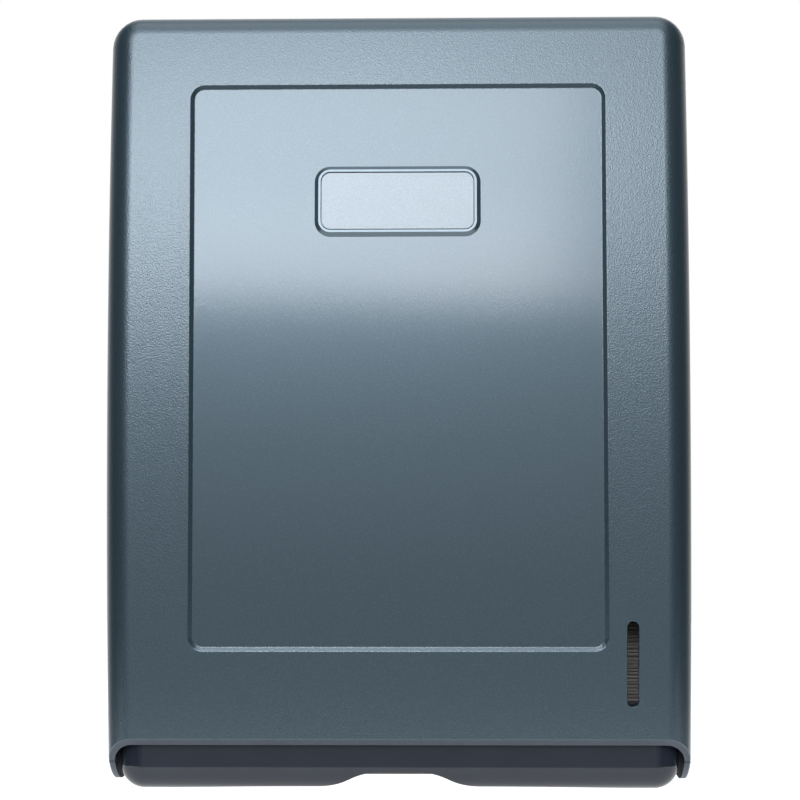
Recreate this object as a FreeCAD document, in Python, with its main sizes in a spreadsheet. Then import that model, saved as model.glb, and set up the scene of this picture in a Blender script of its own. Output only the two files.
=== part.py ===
import FreeCAD, Part
import math
import os
import re

import Sketcher

# A wall-hung dispenser for folded paper towels. X runs across the case, Y from the front (-Y) to
# the wall (y = 0) and Z up. The origin is the centre of the four wall holes, on the wall's face.
# Every piece is drawn with z = 0 on the lowest plane of the case and then lowered by its Placement.

SIZES = {
    # The case as a whole
    "case_width": 280,
    "case_height": 374,
    "case_depth": 125,
    "hole_centre_height": 190,
    # Front cover: a moulded shell, open at the back and underneath
    "cover_wall": 3,
    "face_radius": 1340,
    "crown_height": 116,
    "edge_radius": 11,
    "top_corner_radius": 15,
    "lip_height": 26,
    "lip_slope": 45,
    "lip_sweep_radius": 40,
    "cover_ear_radius": 13,
    # Recessed panel in the cover's face
    "panel_width": 200,
    "panel_height": 271.4,
    "panel_bottom": 68,
    "panel_corner_radius": 7,
    "panel_border": 2,
    "panel_slope_depth": 1,
    "panel_step": 0.1,
    # Level slot beside the panel
    "slot_width": 5.5,
    "slot_length": 40.8,
    "slot_centre_height": 62,
    "slot_offset": 111.2,
    # Badge: a raised frame round a bare plate
    "badge_width": 79.5,
    "badge_height": 34.2,
    "badge_centre_height": 282.3,
    "badge_corner_radius": 7.6,
    "badge_slope": 1.8,
    "badge_land": 1.3,
    "badge_thickness": 1.9,
    "badge_fit_gap": 0.25,
    "badge_plate_thickness": 1.5,
    "badge_stud_radius": 1.2,
    "badge_stud_gap": 0.1,
    "badge_stud_tail": 1.2,
    "push_nut_radius": 3.6,
    "push_nut_thickness": 0.6,
    "push_nut_gap": 0.3,
    # Hinge at the lower back corners
    "pivot_height": 14,
    "pivot_from_wall": 14,
    "pin_radius": 2.5,
    "pin_running_gap": 0.05,
    "pin_seat_gap": 0.02,
    "pin_head_radius": 4.5,
    "pin_head_thickness": 1.2,
    "pin_head_gap": 0.3,
    "hinge_boss_radius": 8,
    "hinge_boss_height": 1.8,
    "hinge_boss_gap": 0.4,
    "hinge_ear_radius": 8,
    "hinge_ear_thickness": 6,
    "hinge_ear_root": 11,
    "clip_radius": 4.8,
    "clip_thickness": 1,
    "clip_groove": 0.5,
    "clip_gap": 0.05,
    "clip_mouth": 3.2,
    "pin_tail": 1.2,
    # Back plate on the wall
    "plate_thickness": 3,
    "plate_side_gap": 1,
    "plate_top_gap": 2,
    "plate_bottom": 2,
    "plate_corner_radius": 10,
    "plate_rim_width": 2,
    "plate_rim_height": 8,
    "plate_rim_inset": 2,
    "plate_rim_ear_gap": 3,
    "rib_width": 2,
    "rib_pitch": 50,
    "rib_bottom": 52,
    "rib_top_gap": 48,
    "wall_hole_radius": 2.75,
    "wall_hole_spacing_x": 150,
    "wall_hole_spacing_z": 220,
    "wall_boss_radius": 7,
    "wall_boss_height": 3,
    # Discharge tray: the dark chin, the floor under the towels and the mouth they leave by
    "tray_wall": 2.5,
    "tray_floor": 3.5,
    "tray_height": 42.5,
    "tray_front_gap": 3,
    "tray_side_gap": 2.3,
    "tray_ear_gap": 1.5,
    "tray_shoulder_gap": 3,
    "chin_radius": 12,
    "tray_rear_radius": 4,
    "tray_screw_drop": 10,
    "tray_screw_inset": 25,
    "throat_end_ledge": 20,
    "throat_side_ledge": 17,
    "throat_corner_radius": 20,
    "rail_height": 2,
    "rail_width": 3,
    "rail_end_gap": 15,
    "notch_top": 9.3,
    "notch_half_flat": 9,
    "notch_half_width": 39,
    "arch_rise": 1.5,
    # Towel stack and the guides at its sides
    "stack_side_gap": 20,
    "stack_front_gap": 23,
    "stack_top_gap": 84.2,
    "stack_from_wall": 18,
    "stack_gap": 0.3,
    "guide_gap": 0.5,
    "guide_wall": 2,
    "guide_flange": 9,
    "guide_bottom": 48,
    "guide_top_gap": 89,
    "guide_return": 4,
    "guide_return_bottom": 110,
    "guide_screw_inset": 35,
    # Cam lock in the cover's top wall
    "lock_from_wall": 38,
    "barrel_radius": 8,
    "barrel_length": 14.3,
    "barrel_hole_gap": 0.15,
    "lock_flange_radius": 10.5,
    "lock_flange_thickness": 1.2,
    "lock_flange_sink": 0.2,
    "lock_flange_gap": 0.4,
    "plug_radius": 5.5,
    "plug_running_gap": 0.05,
    "plug_head_radius": 6.5,
    "plug_head_thickness": 1,
    "plug_tail": 0.8,
    "keyway_length": 6.6,
    "keyway_width": 1.3,
    "keyway_depth": 7,
    "washer_radius": 12,
    "washer_thickness": 0.8,
    "nut_across_flats": 20,
    "nut_thickness": 4,
    "cam_length": 24,
    "cam_width": 12,
    "cam_thickness": 2.5,
    "cam_nose_radius": 2,
    # Keeper that the cam turns behind
    "keeper_side_gap": 4,
    "keeper_front_gap": 1.5,
    "keeper_drop": 3,
    "keeper_width": 16,
    "keeper_sheet": 1.5,
    "keeper_base": 22,
    "keeper_screw_drop": 7,
    "keeper_screw_pitch": 9,
    # Screws
    "screw_radius": 1.75,
    "screw_end_gap": 0.5,
    "screw_head_radius": 3.4,
    "screw_head_height": 2.2,
    "screw_gap": 0.02,
    "cam_screw_radius": 1.5,
    "cam_screw_length": 8,
}

doc = FreeCAD.newDocument("towel_dispenser")
sheet = doc.addObject("Spreadsheet::Sheet", "Sizes")
for row, (alias, number) in enumerate(SIZES.items(), start=1):
    sheet.set(f"A{row}", alias)
    sheet.set(f"B{row}", str(number))
    sheet.setAlias(f"B{row}", alias)
doc.recompute()

OVER = 5  # how far a cutting tool runs past what it cuts
NEAR = 0.01  # how close a point lies to a surface that it counts as on
HIDDEN = "build_"  # the names of construction objects start with this
PLANES = {
    "XY_Plane": FreeCAD.Rotation(),
    "XZ_Plane": FreeCAD.Rotation(FreeCAD.Vector(1, 0, 0), 90),
    "YZ_Plane": FreeCAD.Rotation(FreeCAD.Vector(1, 1, 1), 120),
}
pieces = []


# Helpers: expressions
def bound(text):
    """The expression with each size's name pointing at its cell in the sheet."""
    return re.sub(r"[a-z_]+", lambda word: f"Sizes.{word[0]}" if word[0] in SIZES else word[0], str(text))


def value(text):
    return float(sheet.evalExpression(bound(text)))


def bind(thing, **sizes):
    for prop, text in sizes.items():
        thing.setExpression(prop, bound(text))
    return thing


def move(thing, x="0", y="0", z="0", axis=(0, 0, 1), angle="0"):
    """Places an object by expressions, turned by an angle about an axis through its own origin."""
    thing.Placement = FreeCAD.Placement(FreeCAD.Vector(), FreeCAD.Rotation(FreeCAD.Vector(*axis), 1))
    for letter, text in zip("xyz", (x, y, z)):
        thing.setExpression(f"Placement.Base.{letter}", bound(text))
    thing.setExpression("Placement.Rotation.Angle", bound(angle))
    return thing


def finish(thing, name, **where):
    """Names a finished sub-part and lowers it so that z = 0 is the centre of the wall holes."""
    thing.Label = name
    height = where.pop("z", "0")
    move(thing, z=f"{height} - hole_centre_height", **where)
    pieces.append(thing)
    return thing


# Helpers: sketches
def arc_between(start, end, radius, turn):
    """The shorter arc from start to end, anticlockwise for turn 1 and clockwise for turn -1."""
    chord = end - start
    rise = math.sqrt(max(0.0, radius**2 - (chord.Length / 2) ** 2))
    left = FreeCAD.Vector(-chord.y, chord.x, 0).normalize()
    centre = (start + end) / 2 + left * rise * turn
    first, last = (start, end) if turn > 0 else (end, start)
    begin = math.atan2(first.y - centre.y, first.x - centre.x)
    stop = math.atan2(last.y - centre.y, last.x - centre.x)
    return Part.ArcOfCircle(Part.Circle(centre, FreeCAD.Vector(0, 0, 1), radius), begin, stop)


def pin_point(sketch, edge, end, x, y):
    """Holds one point of an edge at two expressions."""
    for kind, text, axis in (("DistanceX", x, -2), ("DistanceY", y, -1)):
        if text == "0":
            sketch.addConstraint(Sketcher.Constraint("PointOnObject", edge, end, axis))
            continue
        index = sketch.addConstraint(Sketcher.Constraint(kind, -1, 1, edge, end, value(text)))
        sketch.setExpression(f"Constraints[{index}]", bound(text))


def hold_radius(sketch, edge, radius):
    index = sketch.addConstraint(Sketcher.Constraint("Radius", edge, value(radius)))
    sketch.setExpression(f"Constraints[{index}]", bound(radius))


def draw_outline(sketch, outline):
    """Closed outline. A corner is (x, y), or (x, y, radius, turn) where an arc leads to it."""
    points = [FreeCAD.Vector(value(corner[0]), value(corner[1]), 0) for corner in outline]
    ends = []
    for i, corner in enumerate(outline):
        start, end = points[i - 1], points[i]
        if len(corner) == 2:
            edge = sketch.addGeometry(Part.LineSegment(start, end))
            ends.append((edge, 1, 2))
        else:
            edge = sketch.addGeometry(arc_between(start, end, value(corner[2]), corner[3]))
            ends.append((edge, 1, 2) if corner[3] > 0 else (edge, 2, 1))
    for i, corner in enumerate(outline):
        edge, _, end = ends[i]
        following, start, _ = ends[(i + 1) % len(ends)]
        sketch.addConstraint(Sketcher.Constraint("Coincident", edge, end, following, start))
        pin_point(sketch, edge, end, corner[0], corner[1])
        if len(corner) > 2:
            hold_radius(sketch, edge, corner[2])


def draw_circle(sketch, x, y, radius):
    centre = FreeCAD.Vector(value(x), value(y), 0)
    edge = sketch.addGeometry(Part.Circle(centre, FreeCAD.Vector(0, 0, 1), value(radius)))
    pin_point(sketch, edge, 3, x, y)
    hold_radius(sketch, edge, radius)


def sketch_on(plane, name, outlines=(), circles=(), body=None, offset="0"):
    """A sketch on an origin plane, in a body or by itself. Offset runs along the plane's normal."""
    if body:
        sketch = body.newObject("Sketcher::SketchObject", name)
        planes = {feature.Role: feature for feature in body.Origin.OriginFeatures}
        sketch.AttachmentSupport = (planes[plane], "")
        sketch.MapMode = "FlatFace"
        sketch.setExpression("AttachmentOffset.Base.z", bound(offset))
    else:
        sketch = doc.addObject("Sketcher::SketchObject", HIDDEN + name)
        turn = PLANES[plane]
        sketch.Placement = FreeCAD.Placement(turn.multVec(FreeCAD.Vector(0, 0, value(offset))), turn)
    for outline in outlines:
        draw_outline(sketch, outline)
    for circle in circles:
        draw_circle(sketch, *circle)
    return sketch


def rectangle(left, bottom, right, top):
    return [(left, bottom), (right, bottom), (right, top), (left, top)]


def rounded(half_width, bottom, top, radius):
    """A rectangle about x = 0 with four round corners."""
    inner = f"({half_width} - {radius})"
    return [
        (f"-{inner}", bottom),
        (inner, bottom),
        (half_width, f"{bottom} + {radius}", radius, 1),
        (half_width, f"{top} - {radius}"),
        (inner, top, radius, 1),
        (f"-{inner}", top),
        (f"-({half_width})", f"{top} - {radius}", radius, 1),
        (f"-({half_width})", f"{bottom} + {radius}"),
        (f"-{inner}", bottom, radius, 1),
    ][1:]


# Helpers: solids
def extrude(name, sketch, length, back="0", both=False):
    solid = doc.addObject("Part::Extrusion", HIDDEN + name)
    solid.Base = sketch
    solid.DirMode = "Normal"
    solid.Solid = True
    solid.Symmetric = both
    return bind(solid, LengthFwd=length, LengthRev=back)


def turned(name, sketch):
    """A sketch on the XZ plane turned about Z."""
    solid = doc.addObject("Part::Revolution", HIDDEN + name)
    solid.Source = sketch
    solid.Axis = FreeCAD.Vector(0, 0, 1)
    solid.Angle = 360
    solid.Solid = True
    return solid


def cylinder(name, radius, height, **where):
    solid = doc.addObject("Part::Cylinder", HIDDEN + name)
    return move(bind(solid, Radius=radius, Height=height), **where)


def box(name, length, width, height, **where):
    solid = doc.addObject("Part::Box", HIDDEN + name)
    return move(bind(solid, Length=length, Width=width, Height=height), **where)


def fuse(name, *solids):
    joined = doc.addObject("Part::MultiFuse", HIDDEN + name)
    joined.Shapes = list(solids)
    joined.Refine = True
    return joined


def common(name, *solids):
    shared = doc.addObject("Part::MultiCommon", HIDDEN + name)
    shared.Shapes = list(solids)
    return shared


def cut(name, base, *tools):
    result = doc.addObject("Part::Cut", HIDDEN + name)
    result.Base = base
    result.Tool = tools[0] if len(tools) == 1 else fuse(name + "_tools", *tools)
    return result


def group(name, *solids):
    together = doc.addObject("Part::Compound", HIDDEN + name)
    together.Links = list(solids)
    return together


def edges_where(solid, test):
    """Numbers, from 1, of the edges whose sampled points all pass a test."""
    doc.recompute()
    found = []
    for number, edge in enumerate(solid.Shape.Edges, start=1):
        first, last = edge.ParameterRange
        points = [edge.valueAt(first + (last - first) * step / 4) for step in range(5)]
        if all(test(point) for point in points):
            found.append(number)
    return found


def soften(name, base, radius, test):
    """Rounds the edges of a solid that pass a test."""
    size = value(radius)
    result = doc.addObject("Part::Fillet", HIDDEN + name)
    result.Base = base
    result.Edges = [(number, size, size) for number in edges_where(base, test)]
    return result


def slope(name, base, test, across, down):
    """Bevels the edges that pass a test, by one size across the face and another down the wall."""
    result = doc.addObject("Part::Chamfer", HIDDEN + name)
    result.Base = base
    result.Edges = [(number, value(across), value(down)) for number in edges_where(base, test)]
    return result


def feature(body, kind, name, sketch, length, both=False, away=False):
    """A pad or pocket of a body. It must change the volume, which a wrong direction doesn't."""
    doc.recompute()
    before = body.Shape.Volume if body.Tip else 0.0
    step = body.newObject(f"PartDesign::{kind}", name)
    step.Profile = sketch
    step.SideType = "Symmetric" if both else "One side"
    step.Reversed = away
    bind(step, Length=length)
    doc.recompute()
    change = step.Shape.Volume - before
    if (change <= 0) if kind == "Pad" else (change >= 0):
        raise RuntimeError(f"{name} changes the volume by {change:.2f}")
    return step


def new_body(name):
    return doc.addObject("PartDesign::Body", name)


# Shared places, as expressions of the sizes
HALF_CASE = "(case_width / 2)"
HALF_INSIDE = "(case_width / 2 - cover_wall)"
INSIDE_TOP = "(case_height - cover_wall)"
COVER_REAR = "(pivot_from_wall - cover_ear_radius)"
SIDE_BOTTOM = "(pivot_height - cover_ear_radius)"
AXIS_DEPTH = "(face_radius - case_depth)"
PANEL_RECESS = "(panel_slope_depth + panel_step)"
STACK_HALF = "(case_width / 2 - stack_side_gap)"
STACK_FRONT = "(case_depth - stack_front_gap)"
STACK_DEPTH = f"({STACK_FRONT} - stack_from_wall)"
STACK_BOTTOM = "(tray_floor + rail_height + stack_gap)"
THROAT_MIDDLE = f"(({STACK_FRONT} + stack_from_wall) / 2)"
THROAT_HALF_DEPTH = f"({STACK_DEPTH} / 2 - throat_side_ledge)"
RIB_TOP = "(case_height - rib_top_gap)"
GUIDE_TOP = "(case_height - guide_top_gap)"
EAR_OUTSIDE = "(case_width / 2 - cover_wall - hinge_boss_height - hinge_boss_gap)"
EAR_INSIDE = f"({EAR_OUTSIDE} - hinge_ear_thickness)"
CLIP_INSIDE = f"({EAR_INSIDE} - clip_thickness - clip_gap)"
CAM_TOP = "(case_height - lock_flange_sink - lock_flange_thickness - barrel_length - plug_tail)"
CAM_BOTTOM = f"({CAM_TOP} - cam_thickness)"
KEEPER_TOP = CAM_TOP
KEEPER_ARM = f"({CAM_BOTTOM} - keeper_drop)"
KEEPER_FRONT = "(lock_from_wall + cam_width / 2 + keeper_front_gap + keeper_sheet)"
KEEPER_LEFT = "(cam_width / 2 + keeper_side_gap)"
GUIDE_INSIDE = f"({STACK_HALF} + guide_gap)"


def face_y(height, inset="0"):
    """Where the bowed face, or a surface set in behind it, lies at a height."""
    return f"({AXIS_DEPTH} - sqrt((face_radius - {inset})^2 - ({height} - crown_height)^2))"


def bow_cylinder(name, inset):
    """The cylinder that the bowed face, or a surface set in behind it, is part of."""
    return cylinder(
        name,
        f"face_radius - {inset}",
        f"case_width + {2 * OVER}",
        x=f"-{HALF_CASE} - {OVER}",
        y=AXIS_DEPTH,
        z="crown_height",
        axis=(0, 1, 0),
        angle="90",
    )


def on_bow(inset):
    """A test for points on the bowed face, or on a surface set in behind it, above the lip."""
    centre_y, centre_z, radius = value(AXIS_DEPTH), value("crown_height"), value(f"face_radius - {inset}")
    floor = value("lip_height")

    def test(point):
        off = abs(math.hypot(point.y - centre_y, point.z - centre_z) - radius)
        return off < NEAR and point.z > floor + NEAR

    return test


# Front cover
def cover_outside():
    """Bowed in side view, with a lower edge that sweeps down from the lip to the hinge ears."""
    bend = "lip_sweep_radius * (1 - cos(lip_slope))"
    straight_drop = f"(lip_height - {SIDE_BOTTOM} - {bend})"
    straight_end = f"({face_y('lip_height')} + {straight_drop} / tan(lip_slope))"
    side = [
        (f"-{COVER_REAR}", "case_height"),
        (face_y("case_height"), "case_height"),
        (face_y("lip_height"), "lip_height", "face_radius", 1),
        (straight_end, f"lip_height - {straight_drop}"),
        (f"{straight_end} + lip_sweep_radius * sin(lip_slope)", SIDE_BOTTOM, "lip_sweep_radius", 1),
        ("-pivot_from_wall", SIDE_BOTTOM),
        (f"-{COVER_REAR}", "pivot_height", "cover_ear_radius", 1),
    ]
    front = [
        (f"-{HALF_CASE}", "0"),
        (HALF_CASE, "0"),
        (HALF_CASE, "case_height - top_corner_radius"),
        (f"{HALF_CASE} - top_corner_radius", "case_height", "top_corner_radius", 1),
        (f"-{HALF_CASE} + top_corner_radius", "case_height"),
        (f"-{HALF_CASE}", "case_height - top_corner_radius", "top_corner_radius", 1),
    ]
    long_way = extrude("side_view", sketch_on("YZ_Plane", "side", [side]), f"case_width + {OVER}", both=True)
    deep_way = extrude("front_view", sketch_on("XZ_Plane", "front", [front]), f"case_depth + {OVER}")
    blank = common("blank", long_way, deep_way)
    return soften("outside", blank, "edge_radius", on_bow("0"))


def cover_inside():
    """The hollow: the outside set in by the wall, less a pad that keeps the wall behind the panel."""
    top = INSIDE_TOP
    low = f"-{OVER}"
    corner = "(top_corner_radius - cover_wall)"
    side = [
        (str(OVER), low),
        (str(OVER), top),
        (face_y(top, "cover_wall"), top),
        (face_y(low, "cover_wall"), low, "(face_radius - cover_wall)", 1),
    ]
    front = [
        (f"-{HALF_INSIDE}", low),
        (HALF_INSIDE, low),
        (HALF_INSIDE, f"{top} - {corner}"),
        (f"{HALF_INSIDE} - {corner}", top, corner, 1),
        (f"-{HALF_INSIDE} + {corner}", top),
        (f"-{HALF_INSIDE}", f"{top} - {corner}", corner, 1),
    ]
    side_sketch = sketch_on("YZ_Plane", "inside", [side])
    long_way = extrude("hollow_side", side_sketch, f"case_width + {OVER}", both=True)
    front_sketch = sketch_on("XZ_Plane", "hollow_front", [front])
    deep_way = extrude("hollow_front_view", front_sketch, f"case_depth + {OVER}", back=str(2 * OVER))
    hollow = soften("hollow", common("hollow_blank", long_way, deep_way), "edge_radius - cover_wall",
                    on_bow("cover_wall"))
    outline = rounded("(panel_width / 2 + cover_wall / 2)", "(panel_bottom - cover_wall / 2)",
                      "(panel_bottom + panel_height + cover_wall / 2)",
                      "(panel_corner_radius + cover_wall / 2)")
    prism = extrude("pad_prism", sketch_on("XZ_Plane", "pad", [outline]), f"case_depth + {OVER}")
    pad = cut("pad_behind_panel", prism, bow_cylinder("pad_bow", f"(cover_wall + {PANEL_RECESS})"))
    return cut("hollow_with_pad", hollow, pad)


def panel_tool():
    """What is taken out of the face for the panel: its floor's outline down to a lower bow."""
    outline = rounded("(panel_width / 2 - panel_border)", "(panel_bottom + panel_border)",
                      "(panel_bottom + panel_height - panel_border)", "(panel_corner_radius - panel_border)")
    prism = extrude("panel_prism", sketch_on("XZ_Plane", "panel", [outline]), f"case_depth + {OVER}")
    return cut("panel_tool", prism, bow_cylinder("panel_bow", PANEL_RECESS))


def slot_tool():
    left, right = "(slot_offset - slot_width / 2)", "(slot_offset + slot_width / 2)"
    low = "(slot_centre_height - slot_length / 2 + slot_width / 2)"
    high = "(slot_centre_height + slot_length / 2 - slot_width / 2)"
    outline = [
        (right, low, "slot_width / 2", 1),
        (right, high),
        ("slot_offset", f"{high} + slot_width / 2", "slot_width / 2", 1),
        (left, high, "slot_width / 2", 1),
        (left, low),
        ("slot_offset", f"{low} - slot_width / 2", "slot_width / 2", 1),
    ]
    sketch = sketch_on("XZ_Plane", "slot", [outline], offset=f"case_depth - {2 * OVER}")
    return extrude("slot_tool", sketch, str(3 * OVER))


BADGE_LEAN = f"asin((badge_centre_height - crown_height) / (face_radius - {PANEL_RECESS}))"
BADGE_PLACE = {
    "y": f"({AXIS_DEPTH} - (face_radius - {PANEL_RECESS}) * cos({BADGE_LEAN}))",
    "z": "badge_centre_height",
    "axis": (-1, 0, 0),
    "angle": BADGE_LEAN,
}
BADGE_STUD_X = "(badge_width / 2 - (badge_slope + badge_land) / 2)"
LOCK_PLACE = {"y": "-lock_from_wall", "z": "case_height"}


def badge_holes():
    """Two holes square to the panel for the badge's studs."""
    holes = []
    for side in (-1, 1):
        hole = cylinder(f"badge_hole_{side}", "badge_stud_radius + badge_stud_gap",
                        f"cover_wall + {2 * OVER}", x=f"{side} * {BADGE_STUD_X}", y=f"{OVER}",
                        axis=(1, 0, 0), angle="90")
        holes.append(hole)
    return move(group("badge_holes", *holes), **BADGE_PLACE)


def hinge_tools(side):
    """The boss inside one side wall, and the bore and head recess through wall and boss."""
    turn = {"axis": (0, 1, 0), "angle": "90", "y": "-pivot_from_wall", "z": "pivot_height"}
    inner = f"({HALF_INSIDE} - hinge_boss_height)"
    head = "(pin_head_thickness + pin_head_gap + pin_running_gap)"
    starts = [inner, f"({inner} - {OVER})", f"({HALF_CASE} - {head})"]
    through = f"case_width / 2 - {inner} + {2 * OVER}"
    lengths = ["hinge_boss_height + cover_wall / 2", through, f"{head} + {OVER}"]
    radii = ["hinge_boss_radius", "pin_radius + pin_running_gap", "pin_head_radius + pin_head_gap"]
    solids = []
    for what, start, length, radius in zip(("boss", "bore", "recess"), starts, lengths, radii):
        left = start if side > 0 else f"-({start} + {length})"
        solids.append(cylinder(f"{what}_{side}", radius, length, x=left, **turn))
    return solids


def front_cover():
    boss_left, bore_left, recess_left = hinge_tools(-1)
    boss_right, bore_right, recess_right = hinge_tools(1)
    shell = cut("shell", cover_outside(), cover_inside())
    dished = cut("dished", shell, panel_tool())
    half_width = value("panel_width / 2")
    on_face = on_bow("0")

    def on_recess_edge(point):
        return on_face(point) and abs(point.x) < half_width and point.z < value("panel_bottom + panel_height")

    bordered = slope("bordered", dished, on_recess_edge, "panel_border", "panel_slope_depth")
    lock_hole = cylinder("lock_hole", "barrel_radius + barrel_hole_gap", f"cover_wall + {2 * OVER}",
                         y="-lock_from_wall", z=f"{INSIDE_TOP} - {OVER}")
    sink = "(lock_flange_thickness + lock_flange_sink)"
    lock_recess = cylinder("lock_recess", "lock_flange_radius + lock_flange_gap", f"{sink} + {OVER}",
                           y="-lock_from_wall", z=f"case_height - {sink}")
    bossed = fuse("bossed", bordered, boss_left, boss_right)
    holed = cut("cover", bossed, bore_left, bore_right, recess_left, recess_right,
                lock_hole, lock_recess, slot_tool(), badge_holes())
    return finish(holed, "front_cover")


# Badge
def badge_frame():
    body = new_body("badge_frame_body")
    half, tall = "(badge_width / 2)", "(badge_height / 2)"
    ring = "(badge_slope + badge_land)"
    outer = rounded(half, f"(0 - {tall})", tall, "badge_corner_radius")
    inner = rounded(f"({half} - {ring})", f"(0 - {tall} + {ring})", f"({tall} - {ring})",
                    f"(badge_corner_radius - {ring})")
    feature(body, "Pad", "badge_ring", sketch_on("XZ_Plane", "badge_outline", [outer, inner], body=body),
            "badge_thickness")
    studs = [(f"{side} * {BADGE_STUD_X}", "0", "badge_stud_radius") for side in (-1, 1)]
    stud_sketch = sketch_on("XZ_Plane", "badge_stud_outline", circles=studs, body=body)
    feature(body, "Pad", "badge_studs", stud_sketch, "cover_wall + badge_stud_tail", away=True)
    front, radius = value("-badge_thickness"), value("badge_corner_radius")
    corner_x, corner_z = value(half) - radius, value(tall) - radius

    def outer_front(point):
        out_x, out_z = max(0.0, abs(point.x) - corner_x), max(0.0, abs(point.z) - corner_z)
        return abs(point.y - front) < NEAR and abs(math.hypot(out_x, out_z) - radius) < NEAR

    edges = [f"Edge{number}" for number in edges_where(body, outer_front)]
    ringed = body.Tip
    bevel = body.newObject("PartDesign::Chamfer", "badge_bevel")
    bevel.Base = (ringed, edges)
    bind(bevel, Size="badge_slope")
    doc.recompute()
    return finish(body, "badge_frame", **BADGE_PLACE)


def badge_plate():
    body = new_body("badge_plate_body")
    ring = "(badge_slope + badge_land + badge_fit_gap)"
    tall = f"(badge_height / 2 - {ring})"
    outline = rounded(f"(badge_width / 2 - {ring})", f"(0 - {tall})", tall, f"(badge_corner_radius - {ring})")
    feature(body, "Pad", "plate", sketch_on("XZ_Plane", "plate_outline", [outline], body=body),
            "badge_plate_thickness")
    return finish(body, "badge_plate", **BADGE_PLACE)


def badge_push_nuts():
    """Spring rings pressed on the studs behind the panel."""
    body = new_body("badge_push_nuts_body")
    rings = []
    for side in (-1, 1):
        for radius in ("push_nut_radius", "badge_stud_radius + pin_seat_gap"):
            rings.append((f"{side} * {BADGE_STUD_X}", "0", radius))
    sketch = sketch_on("XZ_Plane", "push_nut_outline", circles=rings, body=body,
                       offset="-cover_wall - push_nut_gap")
    body.AllowCompound = True
    feature(body, "Pad", "push_nuts", sketch, "push_nut_thickness", away=True)
    return finish(body, "badge_push_nuts", **BADGE_PLACE)


# Hinge
def hinge_pin(name, side):
    """A headed pin: the head flush in the cover's side, the tail grooved for a clip inside the ear."""
    body = new_body(name + "_body")
    outside = f"({HALF_CASE} - pin_head_gap)"
    neck = f"({outside} - pin_head_thickness)"
    tail = f"({CLIP_INSIDE} - pin_tail)"
    groove = "(pin_radius - clip_groove)"
    profile = [
        (tail, "0"),
        (outside, "0"),
        (outside, "pin_head_radius"),
        (neck, "pin_head_radius"),
        (neck, "pin_radius"),
        (EAR_INSIDE, "pin_radius"),
        (EAR_INSIDE, groove),
        (CLIP_INSIDE, groove),
        (CLIP_INSIDE, "pin_radius"),
        (tail, "pin_radius"),
    ]
    sketch = sketch_on("XZ_Plane", name + "_profile", [profile], body=body)
    pin = body.newObject("PartDesign::Revolution", name + "_turned")
    pin.Profile = sketch
    pin.ReferenceAxis = (sketch, ["H_Axis"])
    pin.Angle = 360
    doc.recompute()
    turn = "0" if side > 0 else "180"
    return finish(body, name, y="-pivot_from_wall", z="pivot_height", angle=turn)


def hinge_clips():
    """Open spring rings in the pins' grooves."""
    rings = []
    for side in (-1, 1):
        left = CLIP_INSIDE if side > 0 else f"(-{CLIP_INSIDE} - clip_thickness)"
        turn = {"x": left, "axis": (0, 1, 0), "angle": "90"}
        disc = cylinder(f"clip_disc_{side}", "clip_radius", "clip_thickness", **turn)
        hole = cylinder(f"clip_hole_{side}", "pin_radius - clip_groove + clip_gap", "clip_thickness", **turn)
        mouth = box(f"clip_mouth_{side}", "clip_thickness", "clip_mouth", "clip_radius",
                    x=left, y="-clip_mouth / 2", z="-clip_radius")
        rings.append(cut(f"clip_{side}", disc, hole, mouth))
    return finish(group("hinge_clips", *rings), "hinge_clips", y="-pivot_from_wall", z="pivot_height")


# Back plate
def screw_places():
    """Name, across, height and depth of the face under the head, for each group of screws."""
    guide_x = f"({GUIDE_INSIDE} + guide_wall + guide_flange / 2)"
    guide_face = "(plate_thickness + guide_wall)"
    tray_face = "(plate_thickness + tray_wall)"
    keeper_face = "(plate_thickness + keeper_sheet)"
    places = {"guide_screws": [], "tray_screws": [], "keeper_screws": []}
    for side in (-1, 1):
        for height in ("(guide_bottom + guide_screw_inset)", f"({GUIDE_TOP} - guide_screw_inset)"):
            places["guide_screws"].append((f"({side} * {guide_x})", height, guide_face))
        for across in (f"{STACK_HALF} - tray_screw_inset", "rib_pitch / 2"):
            height = "(tray_height - tray_screw_drop)"
            places["tray_screws"].append((f"({side} * ({across}))", height, tray_face))
    for drop in ("keeper_screw_drop", "(keeper_screw_drop + keeper_screw_pitch)"):
        places["keeper_screws"].append(
            (f"({KEEPER_LEFT} + keeper_width / 2)", f"({KEEPER_ARM} - {drop})", keeper_face))
    return places


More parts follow.
